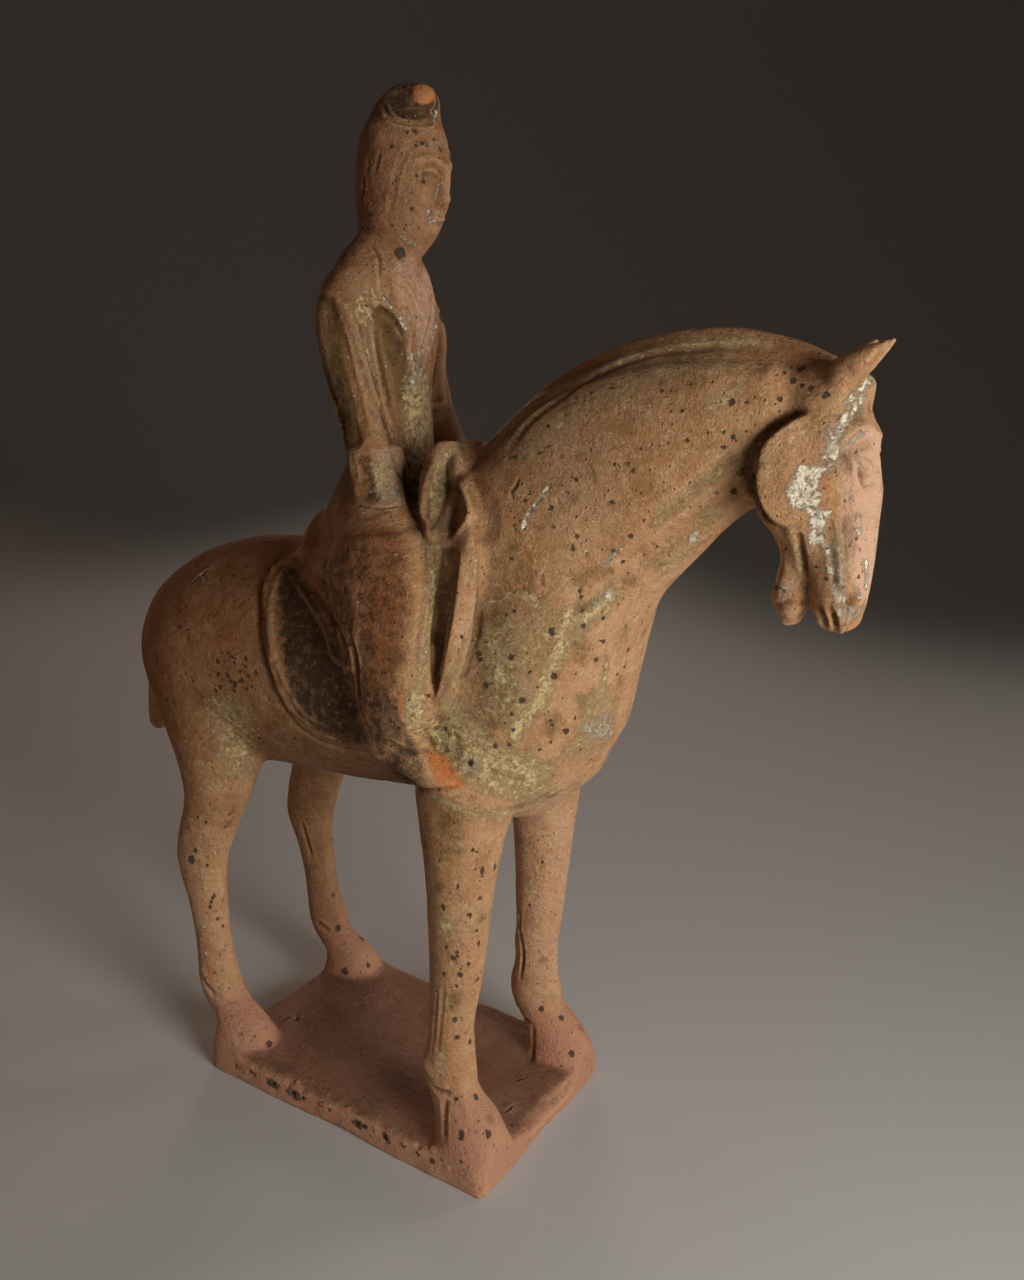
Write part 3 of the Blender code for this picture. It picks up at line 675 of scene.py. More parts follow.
# %% Hair
TOPKNOT_SCAR = [(383, 104), (387, 113), (393, 120), (404, 123), (417, 124), (429, 123),
                (436, 116)]
lines([
    (TOPKNOT_SCAR, 1.2, -0.5, 0.35),
    ([(380, 152), (378, 162), (375, 172)], 1.0, -0.45, 0.2),
    ([(364, 178), (363, 190), (361, 203)], 1.0, -0.4, 0.2),
    ([(369, 160), (367, 172)], 0.9, -0.3, 0.1),
    ([(372, 196), (371, 208)], 0.9, -0.3, 0.1),
    ([(436, 96), (434, 106), (430, 112), (436, 118)], 1.1, 0.7, 0),
])
BROKEN_KNOT = [(386, 100), (398, 86), (412, 82), (430, 84), (438, 95), (438, 112), (428, 121),
               (400, 119)]
push_area(BROKEN_KNOT, 3, -0.35, rough=0.5 * swells(rest, 3, 21))
KNOT_BREAK = [(413, 86), (423, 82), (433, 87), (434, 98), (425, 104), (414, 100)]
push_area(KNOT_BREAK, 2, 0.3, rough=0.5 * swells(rest, 1.5, 22))
PINHOLES = [(399, 105), (404, 105)]
for place in PINHOLES:
    pit(place, 0.6, -0.7)
skin.refresh()
for side in (1, -1):
    hairline = [(FRONT - 1, 1.5, EYES + 14), (FRONT - 3, 8, EYES + 12),
                (FRONT - 8, 13.5, EYES + 6), (FRONT - 11, 15, EYES - 3),
                (FRONT - 14, 14.5, CHIN + 4)]
    line(laid(smooth_path([(x, y * side, z) for x, y, z in hairline])), 1.5, -0.3, 0.15)
skin.refresh()
print("topknot broken off over", len(BROKEN_KNOT), "corners")

# %% [markdown]
# ## Legs and slab
# The legs were rolled and pressed, then cut with a tool: a double tendon line behind each
# cannon bone, a swelling at the fetlock, and a hard step where the hoof's lump was set on.
# The slab is the roughest part. Its top was wiped, its rim was cut with a knife, and it
# keeps the burrs, crumbs and chips of that cut.

# %% Legs
LEG_STROKES = [
    ([(444, 984), (442, 1010), (439.5, 1036), (437, 1054)], 1.1, -0.45, 0.1),
    ([(437.5, 990), (436, 1014), (434, 1040), (431, 1054)], 0.9, -0.4, 0.1),
    ([(424, 1058), (427, 1070), (436, 1080)], 2.8, 0.8, 0),
    ([(431, 1087), (441, 1092), (451, 1093)], 1.5, -1.2, 0.25),
    ([(446, 1098), (444.5, 1119), (444.5, 1140)], 1.7, -0.9, 0.15),
    ([(459, 1084), (465, 1102), (469, 1122)], 2.4, 0.5, 0),
    ([(517, 905), (520.5, 915), (519.5, 927), (522, 942), (523, 959), (520.5, 978)],
     1.2, -1.6, 0.25),
    ([(513, 916), (514, 934), (516, 954)], 1.2, 0.5, 0),
    ([(511, 1001), (513.5, 1009)], 2.2, 0.7, 0),
    ([(512, 1013), (521, 1017), (529, 1022)], 1.6, -1.3, 0.2),
    ([(533, 1026), (533, 1046), (532, 1062)], 2.0, -1.0, 0),
    ([(202, 966), (205, 977)], 2.6, 0.6, 0),
    ([(203, 982), (208, 988), (214, 995)], 1.6, -1.2, 0.2),
    ([(214, 995), (228, 1001), (242, 1001)], 1.8, -0.4, 0),
    ([(302, 822), (307, 840), (312, 856)], 1.2, -1.1, 0.15),
    ([(317, 922), (323, 926), (329, 930)], 1.6, -1.1, 0.2),
    ([(344, 906), (352, 913), (361, 918)], 2.2, 0.5, 0),
]
lines(LEG_STROKES, mirrored=0.6)
print("leg strokes", len(LEG_STROKES))

# %% Slab rim
EDGE_PASSES, PROUD_EDGE = 5, 0.12
proud = ((skin.points - skin.averaged(skin.points, EDGE_PASSES)) * skin.normals).sum(1)
on_rim = ramp(proud, 0, PROUD_EDGE) * (rest[:, 2] < SLAB_TOP + 1.5) * (rest[:, 2] > 2)
chipped = np.clip(swells(rest, 6.5, 31) * 1.6 - 0.25, 0, 1)
crumbs = swells(rest, 1.9, 32)
rim_push = on_rim * (-1.1 * chipped + 0.55 * crumbs * (0.35 + chipped))
skin.points += skin.normals * rim_push[:, None]
skin.refresh()
SLAB_LINES = [
    ([(523, 1131), (540, 1113), (557, 1096), (573, 1081)], 3.6, -0.9, 0),
    ([(526, 1139), (549, 1116), (580, 1083)], 2.2, 0.5, 0),
    ([(506, 1111), (513, 1106)], 0.9, -0.6, 0.3),
    ([(515, 1081), (526, 1078)], 0.9, -0.5, 0.4),
    ([(284, 1020), (291, 1016)], 0.9, -0.6, 0.4),
    ([(352, 1008), (372, 999), (398, 986)], 2.6, -0.25, 0.1),
    ([(300, 1000), (330, 985)], 2.2, -0.2, 0.1),
    ([(290, 983), (300, 985)], 1.4, -0.8, 0.2),
]
lines(SLAB_LINES)
RIM_CRUMBS = [
    (246, 1072, 1.0, 0.9), (298, 1081, 1.3, 0.8), (305, 1080, 1.0, 0.8), (312, 1081, 0.9, 0.7),
    (321, 1084, 0.8, 0.7), (321, 1104, 1.0, 0.9), (349, 1108, 0.9, 0.7), (404, 1144, 1.1, 0.9),
    (419, 1153, 0.9, 0.8), (433, 1148, 1.4, 1.1), (448, 1168, 1.0, 0.8), (376, 1132, 0.9, 0.7),
    (364, 1101, 0.7, 0.5), (385, 1100, 0.7, 0.4), (393, 1102, 0.7, 0.5), (321, 1064, 0.7, 0.4),
    (354, 1081, 0.7, 0.4), (547, 1107, 1.2, 0.9), (525, 1127, 1.0, 0.6), (467, 1176, 1.0, 0.6),
    (236, 1066, 0.9, -1.1), (254, 1075, 1.0, -1.4), (274, 1084, 1.2, -1.0), (293, 1094, 1.5, -1.3),
    (302, 1098, 0.9, -0.9), (357, 1124, 1.4, -1.1), (363, 1127, 0.9, -1.0), (385, 1138, 1.4, -1.4),
    (524, 1130, 0.9, -1.2), (440, 1160, 0.9, -0.7),
]
TOP_OF_SLAB, TOP_MARKS, MARK_SHARE = [(230, 1000), (440, 1130)], 40, 0.35
for px, py, radius, height in RIM_CRUMBS:
    pit((px, py), radius, height)
for place, radius in scatter(TOP_OF_SLAB, TOP_MARKS, 0.5, 0.9):
    pit(place, radius, MARK_SHARE * radius * (1 if rng.random() < 0.5 else -1))
skin.refresh()
print("rim crumbs", len(RIM_CRUMBS))

# %% [markdown]
# ## Painting by place
# Where each stain lies is painted on the points as a soft field from 0 to 1, highest in
# the middle of the mark. A field can be as coarse as the mesh, because the material
# later cuts it at a level with fine noise, which gives a crisp and ragged edge.

# %% Fields
FIELDS = ("brown_and_shade", "red", "darkening_and_shade", "olive_and_shade", "pink", "ochre", "cream_and_painted_light", "chalk", "soot_and_shade", "specks")
FAR_PAINT = 0.6
CHALK_DAB, SPECK_EDGE = 1.1, 0.62
fields = {name: np.zeros(len(skin.points)) for name in FIELDS}


def tint(field, path, reach, strength=1.0):
    """Paint along a path, fading to nothing at its reach."""
    chosen, gap, _ = skin.near(path, reach)
    value = strength * (1 - gap / reach)
    fields[field][chosen] = np.maximum(fields[field][chosen], value)


def tint_area(field, outline, soft, strength=1.0, mirrored=False):
    """Paint inside an outline in the picture, with a soft edge, and fainter on the far side."""
    value = strength * area(outline, soft, mirrored, FAR_PAINT)
    fields[field] = np.maximum(fields[field], value)


def stain(field, areas, paths=(), dabs=(), dab=1.0):
    """Lay a finish on areas, some mirrored, along paths and on single places."""
    for outline, soft, strength, *mirrored in areas:
        tint_area(field, outline, soft, strength, *mirrored)
    for places, reach, strength in paths:
        tint(field, seen(places), reach, strength)
    for px, py, reach in dabs:
        tint(field, seen([(px, py)]), reach, dab)
    print(field, "marks", len(areas) + len(paths) + len(dabs))


# %% [markdown]
# White chalk is lime from the burial soil, caked in cuts and on the horse's cheek. Cream
# is what is left of a pale slip under the paint, and lies wider and thinner. Cream also
# paints light: a painted highlight along the mane band and a brightening of the shaded
# lap. Each row is an outline or a path in the picture, with how soft it is and how strong.

# %% Chalk
CHALK_AREAS = [
    ([(799, 460), (811, 463), (821, 462), (832, 461), (829, 472), (822, 481), (825, 499),
      (818, 511), (811, 511), (794, 513), (784, 501), (784, 487), (790, 472)], 7, 0.9),
    ([(796, 474), (812, 472), (820, 486), (812, 504), (794, 504), (790, 490)], 8, 0.95),
    ([(800, 504), (832, 508), (830, 524), (828, 546), (805, 548), (806, 520)], 7, 0.84),
    ([(872, 370), (870, 392), (858, 406), (840, 404), (856, 386)], 8, 0.66),
    ([(824, 432), (844, 408), (860, 408), (848, 432), (840, 452), (830, 466), (818, 462)],
     9, 0.72),
    ([(838, 446), (846, 436), (858, 428), (872, 428), (864, 440), (846, 452), (838, 458)],
     8, 0.6),
    ([(846, 600), (866, 604), (872, 596), (866, 616), (846, 622)], 6, 0.55),
    ([(824, 540), (842, 540), (850, 600), (844, 628), (828, 590)], 7, 0.64),
    ([(766, 580), (784, 574), (796, 580), (790, 596), (772, 600)], 6, 0.42),
    ([(852, 512), (862, 508), (864, 536), (854, 540)], 5, 0.5),
    ([(846, 486), (854, 488), (856, 504), (847, 500)], 5, 0.5),
    ([(366, 486), (402, 484), (405, 502), (368, 504)], 9, 0.4),
    ([(404, 352), (424, 350), (424, 388), (406, 392)], 5, 0.5),
    ([(574, 720), (612, 712), (616, 738), (584, 742)], 8, 0.62),
    ([(455, 752), (478, 756), (486, 772), (466, 778)], 6, 0.4),
    ([(858, 560), (869, 558), (869, 590), (862, 588)], 4, 0.5),
]
CHALK_LINES = [
    ([(869, 376), (862, 394), (854, 412), (838, 429), (834, 446), (830, 462)], 4.2, 0.86),
    ([(826, 545), (833, 571), (838, 593), (840, 618)], 3.0, 0.86),
    ([(438, 184), (436, 192), (435, 200)], 1.1, 0.95),
    ([(428, 211), (431, 217), (429, 223), (434, 221)], 0.9, 0.9),
    ([(437, 213), (441, 218), (438, 224)], 0.9, 0.9),
    ([(838, 522), (840, 556), (841, 593)], 1.3, 0.85),
    ([(866, 561), (867, 575), (866, 586)], 1.4, 1.0),
    ([(856, 590), (859, 598)], 1.4, 1.0),
    ([(856, 460), (858, 472), (863, 484)], 0.8, 0.7),
    ([(523, 528), (530, 512), (539, 503), (547, 488)], 1.4, 1.0),
    ([(621, 549), (612, 556), (603, 567)], 1.5, 0.9),
    ([(440, 308), (435, 328), (426, 357), (419, 376)], 1.2, 0.95),
    ([(379, 290), (386, 302), (397, 314), (410, 336)], 1.3, 1.0),
    ([(190, 587), (198, 577), (213, 568)], 1.3, 0.95),
    ([(202, 573), (209, 585)], 1.1, 0.8),
    ([(401, 237), (414, 244)], 1.6, 0.8),
    ([(437, 112), (434, 120)], 1.4, 1.0),
    ([(585, 551), (588, 558)], 1.4, 0.7),
]
CHALK_DABS = [
    (207, 953, 1.3), (218, 974, 1.3), (225, 943, 0.9), (216, 853, 1.2), (204, 927, 1.0),
    (513, 1009, 1.0), (478, 765, 1.0), (540, 953, 1.2), (558, 857, 1.6), (694, 537, 3.2),
    (594, 603, 2.2), (609, 594, 2.2), (805, 585, 1.4), (815, 590, 1.2),
]
stain("chalk", CHALK_AREAS, CHALK_LINES, CHALK_DABS, CHALK_DAB)

# %% Cream slip and painted light
CREAM_AND_PAINTED_LIGHT_AREAS = [
    ([(190, 690), (232, 680), (268, 716), (262, 780), (225, 790), (198, 745)], 26, 0.62),
    ([(226, 720), (250, 712), (256, 760), (232, 766)], 12, 0.7),
    ([(437, 690), (470, 700), (500, 735), (560, 760), (540, 806), (478, 800), (440, 760)],
     14, 0.68),
    ([(462, 612), (540, 600), (560, 650), (536, 724), (476, 730), (468, 670)], 22, 0.46),
    ([(348, 290), (376, 284), (384, 300), (372, 330), (352, 322)], 7, 0.7),
    ([(400, 716), (442, 712), (470, 740), (474, 782), (440, 760)], 10, 0.7),
    ([(394, 372), (428, 366), (440, 400), (436, 448), (398, 446)], 14, 0.8),
    ([(358, 452), (408, 448), (410, 500), (372, 506)], 12, 0.5),
    ([(440, 548), (459, 550), (456, 616), (446, 654), (437, 690), (433, 640)], 6, 0.62),
    # painted light: the shaded lap between the cuff and the pommel is brightened
    ([(402, 450), (428, 448), (424, 476), (420, 525), (406, 505)], 6, 0.6),
    ([(410, 470), (440, 446), (462, 450), (456, 470), (430, 500)], 12, 0.4),
    ([(540, 600), (606, 590), (600, 640), (560, 680), (520, 730), (500, 720)], 24, 0.5),
    ([(575, 690), (622, 680), (614, 744), (560, 772)], 18, 0.55),
    # painted highlight along the mane band
    ([(500, 440), (640, 350), (760, 350), (760, 380), (640, 400), (530, 470)], 22, 0.4),
    ([(640, 560), (700, 500), (760, 470), (720, 540), (660, 590)], 20, 0.4),
    ([(786, 522), (798, 524), (806, 572), (796, 578)], 6, 0.8),
    ([(836, 515), (846, 520), (852, 600), (840, 620), (826, 560)], 8, 0.65),
    ([(846, 600), (870, 600), (856, 624), (840, 630)], 7, 0.6),
    ([(798, 440), (850, 400), (860, 380), (840, 380), (800, 410)], 16, 0.3),
    ([(400, 684), (426, 680), (430, 735), (404, 730)], 8, 0.75),
    ([(430, 560), (424, 660), (418, 680), (414, 660), (424, 560)], 4, 0.5),
    ([(436, 1046), (450, 1052), (444, 1078), (430, 1066)], 6, 0.8),
    ([(438, 918), (454, 922), (450, 934), (440, 930)], 4, 1.0),
    ([(525, 870), (540, 880), (536, 900), (524, 895)], 7, 0.5),
    ([(545, 985), (556, 990), (560, 1000), (550, 1002)], 5, 0.5),
    ([(340, 330), (372, 300), (392, 430), (372, 440)], 12, 0.35),
    ([(430, 190), (440, 150), (438, 215), (420, 228)], 8, 0.35),
    ([(456, 444), (440, 450), (429, 468), (426, 500), (429, 532), (440, 538), (448, 515),
      (451, 490), (462, 464)], 5, 0.68),
]
CREAM_AND_HIGHLIGHT_LINES = [
    # painted highlight along the mane band
    ([(509, 446), (532, 417), (575, 386), (634, 356), (691, 344), (759, 342)], 4.0, 0.7),
    ([(742, 458), (723, 468), (703, 484), (680, 502), (657, 520)], 4.0, 0.8),
    ([(613, 591), (596, 610), (568, 621), (558, 650), (548, 678), (540, 700), (514, 734)],
     5.0, 1.05),
    ([(484, 772), (500, 766), (518, 768), (534, 780)], 4.0, 1.05),
    ([(582, 780), (550, 796), (520, 811), (474, 812), (430, 796)], 2.4, 0.95),
    ([(486, 604), (520, 596), (548, 612)], 3.0, 0.8),
    ([(491, 640), (500, 672), (512, 700)], 3.4, 0.85),
    ([(580, 742), (600, 700), (606, 660)], 2.4, 0.8),
    ([(567, 750), (600, 731)], 3.0, 0.95),
    ([(345, 302), (364, 344), (377, 383), (393, 437)], 1.8, 1.0),
    ([(374, 324), (377, 363), (390, 410)], 1.6, 0.9),
    ([(474, 552), (475, 600), (467, 646), (455, 679), (443, 706)], 2.6, 0.8),
    ([(456, 482), (463, 495), (469, 512)], 1.4, 0.9),
    ([(258, 640), (270, 680), (300, 720), (340, 742)], 1.6, 0.8),
    ([(272, 600), (274, 640), (286, 680)], 1.4, 0.6),
    ([(740, 385), (722, 400), (706, 414)], 3.0, 0.8),
    ([(402, 507), (384, 509), (370, 507)], 1.0, 0.8),
    ([(420, 530), (431, 556), (433, 600), (428, 650), (421, 680)], 2.6, 0.95),
    ([(437, 545), (440, 552), (436, 610), (431, 680)], 1.6, 0.9),
]
stain("cream_and_painted_light", CREAM_AND_PAINTED_LIGHT_AREAS, CREAM_AND_HIGHLIGHT_LINES)

# %% [markdown]
# Dark specks are manganese and root marks from the soil, about one to four millimetres
# wide. The ones that the eye meets are placed one by one, and each cluster of smaller ones
# is scattered inside an outline, with the same random numbers each run.

# %% Dark specks of manganese and root marks
SPECKS = [
    (801, 368, 4.5), (785, 372, 2), (793, 380, 3), (802, 385, 2), (811, 388, 2.5),
    (826, 395, 3), (780, 399, 2.4), (732, 402, 3), (766, 474, 5), (742, 472, 4), (734, 491, 3),
    (662, 391, 2), (724, 447, 2), (682, 411, 2), (548, 426, 2), (549, 447, 2), (614, 464, 2),
    (576, 479, 2), (612, 502, 2), (577, 536, 2), (644, 521, 2), (623, 562, 2), (580, 591, 2),
    (581, 597, 2), (603, 618, 2), (583, 626, 2.4), (552, 631, 4), (514, 611, 2), (612, 388, 1.6),
    (479, 654, 4), (480, 659, 3), (511, 657, 3), (522, 700, 3), (554, 676, 3), (566, 731, 3),
    (486, 685, 3), (596, 660, 2.4), (624, 667, 2), (617, 674, 2), (462, 637, 2), (428, 696, 2),
    (400, 253, 5), (471, 763, 3), (258, 738, 2.4), (240, 672, 2),
    (414, 130, 2.6), (422, 143, 2), (416, 176, 2), (423, 181, 2.4), (434, 140, 2),
    (473, 850, 2), (482, 870, 2.4), (495, 867, 2.4), (458, 886, 1.6), (480, 898, 2),
    (443, 907, 3.2), (469, 915, 2.4), (477, 931, 1.6), (479, 943, 2), (446, 948, 1.6),
    (453, 958, 3.2), (457, 953, 2), (469, 964, 2), (444, 974, 2.6), (460, 975, 3), (457, 986, 2),
    (478, 979, 2), (455, 1020, 2.8), (457, 1037, 2.8), (470, 1042, 2.6), (456, 1099, 2.6),
    (476, 1097, 3), (461, 1133, 3), (461, 1138, 3), (488, 1134, 4), (461, 1162, 2), (512, 1125, 2),
    (541, 1009, 3.4), (561, 1018, 3), (572, 1054, 3.6), (530, 905, 2), (542, 862, 1.8),
    (338, 928, 4), (361, 938, 4), (345, 971, 5), (368, 965, 3), (333, 895, 3), (269, 1044, 4),
    (191, 860, 5), (195, 851, 3), (214, 897, 2.4), (210, 907, 2), (207, 865, 2),
    (252, 1072, 3), (321, 1104, 3), (330, 1110, 2.4), (404, 1146, 3), (418, 1154, 2.6),
    (432, 1161, 3), (271, 1083, 5), (276, 1085, 5), (290, 1092, 5), (296, 1096, 6), (303, 1099, 3),
    (354, 1122, 4), (359, 1125, 5), (365, 1127, 3), (384, 1136, 4), (388, 1140, 4),
]
for px, py, radius in SPECKS:
    tint("specks", seen([(px, py)]), radius * SPECK_EDGE)
SPECK_CLUSTERS = [
    ([(214, 650), (258, 692)], 34, 0.35, 0.9),
    ([(430, 850), (490, 1010)], 9, 0.3, 0.6),
    ([(490, 600), (640, 760)], 24, 0.35, 0.7),
    ([(150, 560), (300, 760)], 30, 0.35, 0.7),
    ([(500, 380), (760, 560)], 34, 0.35, 0.7),
    ([(180, 800), (260, 1000)], 18, 0.35, 0.7),
    ([(360, 110), (446, 230)], 14, 0.35, 0.7),
    ([(780, 420), (880, 600)], 14, 0.3, 0.6),
]
for outline, count, low, high in SPECK_CLUSTERS:
    for place, radius in scatter(outline, count, low, high):
        tint("specks", seen([place]), radius * 2)
print("specks", len(SPECKS) + sum(row[1] for row in SPECK_CLUSTERS))

# %% [markdown]
# Soot and black paint remain on the saddle cloth, the boot and the topknot's break. Soot
# also lays painted shade under the saddle flap, over the thigh, under the lapel, on the
# back of the sleeves, beside the forearms and on the rider's clay turned from the light,
# and painted shadow in the groove behind the jowl. Olive is clay stained by the soil, and
# also painted shade on the back of the sleeves and under the lapel. Pink is a thin wash of
# red paint over slip. The orange places are fresh breaks, where the clay was never dirty.
# A True mirrors a row.

# %% Soot and painted shade
SOOT_AND_SHADE_AREAS = [
    ([(381, 106), (390, 88), (402, 79), (424, 78), (442, 90), (442, 108), (436, 119), (424, 125),
      (402, 122), (388, 117)], 4, 0.8),
    # painted shade under the saddle flap and over the thigh
    ([(316, 560), (350, 530), (376, 540), (386, 620), (380, 712), (348, 716), (324, 640)],
     16, 0.6, True),
    ([(270, 560), (300, 566), (330, 620), (352, 672), (372, 745), (330, 742), (285, 700)],
     12, 0.95, True),
    # soot mottling and painted shade over the thigh
    ([(332, 530), (398, 520), (424, 580), (416, 660), (398, 712), (352, 690), (336, 620)],
     24, 0.4, True),
    ([(366, 690), (395, 690), (412, 730), (426, 760), (424, 786), (400, 784), (368, 740)],
     8, 0.8, True),
    # painted shadow under the lapel
    ([(374, 316), (398, 318), (404, 342), (400, 372), (382, 360)], 9, 0.45, True),
    ([(440, 545), (458, 549), (457, 580), (454, 616), (445, 654), (437, 690), (432, 660)],
     8, 0.2, True),
    ([(427, 464), (438, 466), (446, 480), (436, 486), (426, 482)], 4, 0.62),
    ([(424, 498), (432, 496), (436, 520), (430, 536), (422, 530)], 4, 0.5),
    ([(455, 476), (461, 478), (461, 484), (456, 482)], 3, 0.8),
    # painted shade on the back of the sleeve, turned from the light
    ([(306, 290), (336, 300), (346, 340), (354, 376), (364, 428), (346, 446), (318, 400)],
     14, 0.55, True),
    # painted shade in the hollow beside the forearm
    ([(354, 450), (368, 450), (376, 500), (358, 504)], 10, 0.5, True),
    # painted shadow under the lapel
    ([(388, 318), (404, 320), (406, 352), (390, 352)], 6, 0.55, True),
]
SOOT_AND_SHADOW_LINES = [
    # painted shadow in the groove behind the jowl
    ([(799, 413), (783, 422), (762, 438), (753, 455), (752, 480), (757, 505), (770, 524)],
     3.2, 0.7),
    ([(780, 578), (776, 600), (784, 612)], 4, 0.5),
    ([(779, 600), (786, 622)], 3, 0.5),
]
stain("soot_and_shade", SOOT_AND_SHADE_AREAS)
for places, reach, strength in SOOT_AND_SHADOW_LINES:
    for one in both_sides(seen(places)):
        tint("soot_and_shade", one, reach, strength)

# %% Olive clay and painted shade
OLIVE_AND_SHADE_AREAS = [
    # painted shade on the back of the sleeve, turned from the light
    ([(300, 280), (338, 296), (349, 330), (357, 370), (369, 420), (368, 440), (340, 452),
      (310, 400)], 14, 1.2, True),
    # painted shadow under the lapel
    ([(371, 312), (382, 304), (396, 312), (407, 330), (409, 360), (410, 404), (392, 404),
      (380, 396), (373, 350)], 6, 1.2, True),
    ([(346, 316), (362, 316), (372, 380), (366, 392), (354, 356)], 6, 0.5, True),
    ([(540, 706), (566, 706), (560, 740), (538, 736)], 10, 0.7),
    ([(565, 636), (592, 640), (588, 668), (566, 662)], 9, 0.6),
    ([(610, 624), (636, 616), (630, 648), (614, 644)], 9, 0.6),
    ([(566, 566), (600, 562), (598, 590), (568, 588)], 9, 0.6),
    ([(570, 690), (590, 690), (588, 716), (572, 712)], 8, 0.6),
    ([(660, 350), (700, 344), (700, 400), (660, 410)], 16, 0.4),
    ([(432, 556), (440, 560), (436, 620), (426, 676), (419, 672), (428, 620)], 5, 0.8, True),
    ([(410, 722), (440, 714), (474, 740), (478, 782), (440, 770)], 10, 0.6),
    ([(430, 800), (470, 800), (462, 860), (434, 860)], 14, 0.6, True),
    ([(462, 620), (510, 600), (530, 700), (480, 744)], 16, 0.66),
    ([(840, 452), (850, 450), (854, 470), (842, 480)], 6, 0.5, True),
    ([(478, 550), (530, 530), (540, 600), (482, 620)], 16, 0.55),
    ([(270, 700), (330, 735), (400, 770), (400, 792), (310, 765), (262, 730)], 8, 0.4, True),
]
OLIVE_DABS = [(584, 576, 4), (606, 575, 4), (630, 580, 4), (509, 574, 4), (848, 608, 4),
              (457, 997, 4), (455, 1005, 4)]
stain("olive_and_shade", OLIVE_AND_SHADE_AREAS, dabs=OLIVE_DABS)

# %% Pink wash and orange breaks
PINK_AREAS = [
    ([(836, 430), (886, 430), (886, 590), (852, 600), (834, 500)], 12, 0.95, True),
    ([(418, 262), (442, 280), (440, 330), (424, 366), (412, 340), (410, 290)], 9, 0.62),
    ([(384, 256), (420, 256), (414, 330), (398, 320)], 10, 0.45),
    ([(368, 446), (410, 440), (408, 506), (372, 508)], 12, 0.6, True),
    ([(468, 520), (478, 600), (462, 660), (444, 700), (452, 640), (462, 580)], 5, 0.3),
    ([(774, 572), (806, 576), (808, 600), (776, 606)], 8, 0.4, True),
    ([(520, 796), (576, 784), (566, 990), (512, 990)], 12, 0.42),
]
OCHRE_AREAS = [
    ([(412, 86), (423, 81), (434, 86), (435, 99), (424, 105), (413, 100)], 2, 1.4),
    ([(424, 750), (444, 752), (464, 770), (464, 789), (436, 787)], 6, 0.9, True),
    ([(398, 690), (403, 700), (402, 728), (399, 716)], 2, 0.8),
    ([(820, 480), (834, 470), (832, 520), (824, 505)], 4, 0.22),
    ([(205, 965), (216, 968), (214, 985), (205, 978)], 4, 0.5),
]
stain("pink", PINK_AREAS)
stain("ochre", OCHRE_AREAS)

# %% [markdown]
# Wide, soft differences follow the figure's own form, and not a picture. Painted shade
# makes the rump, the thigh and the rider's clay that turns away from the key light
# browner, and darkens the slab's top and the belly's underside. The crest, the ears and
# the whole rider are browner, the hooves and slab redder, and the neck, the rider and the
# far hind leg a little darker. Each is a product of ramps along the figure's length,
# width and height, or along the way that the clay faces.

# %% Broad tones of the clay and painted shade
x, y, z = rest.T
facing_x, _, facing_z = skin.normals.T
# Painted shade: clay that faces backwards, away from the key light, and the rear of the horse, far
# from it, turn browner.
shade_turned_back = ramp(facing_x, 0.25, -0.35)
rear_shade = ramp(x, 30, -60) * ramp(z, 90, 160)
crest = ramp(z, 275, 303) * ramp(x, 10, 40) * (x < 134)
rider = ramp(z, 225, 245) * (x < 8)
fields["brown_and_shade"] = np.maximum.reduce([rear_shade * (0.5 + 0.4 * shade_turned_back), crest * 0.45,
                                     rider * (0.45 + 0.55 * shade_turned_back)])
# Painted shade: soot on the rider's clay that faces away from the key light.
fields["soot_and_shade"] = np.maximum(fields["soot_and_shade"], rider * 0.4 * shade_turned_back)
EAR = [(836, 354), (862, 362), (890, 340), (878, 366), (868, 378), (846, 376)]
tint_area("brown_and_shade", EAR, 6, 0.6, True)
# The thigh is browner, partly as painted shade.
THIGH = [(322, 540), (350, 515), (402, 512), (424, 560), (416, 660), (398, 712), (352, 716),
         (330, 620)]
tint_area("brown_and_shade", THIGH, 24, 0.95, True)
# Painted shade: the slab's top and the belly's underside are darkened; the neck, the rider and the
# far hind leg are a little darker.
slab_top_shade = ramp(z, SLAB_TOP + 3, SLAB_TOP + 1) * ramp(facing_z, 0.4, 0.9)
neck = ramp(x, 5, 25) * ramp(x, 108, 78) * ramp(z, 225, 255)
shaded_belly = ramp(facing_z, 0, -0.667) * ramp(z, 95, 115) * ramp(z, 165, 155) * ramp(x, 25, 5)
far_hind = ramp(x, -50, -65) * ramp(y, 0, 6) * ramp(z, 125, 105)
fields["darkening_and_shade"] = np.maximum.reduce([0.72 * slab_top_shade, 0.3 * neck, 0.35 * rider, 0.55 * shaded_belly,
                                     0.35 * far_hind * (z > SLAB_TOP)])
fields["red"] = np.maximum(ramp(z, 38, 26), 0.3 * ramp(z, 120, 60))
print("fields", {name: round(float(field.mean()), 3) for name, field in fields.items()})

# %% [markdown]
# ## Thinning the skin
# Even cells spend as many triangles on a smooth flank as on an eye. Decimation merges
# those that say little, and keeps the piece under 200,000 triangles for its STL file. A
# vertex group keeps the cells small where a mark has a crisp edge and in the two faces,
# because a painted field is only as fine as the mesh that carries it.

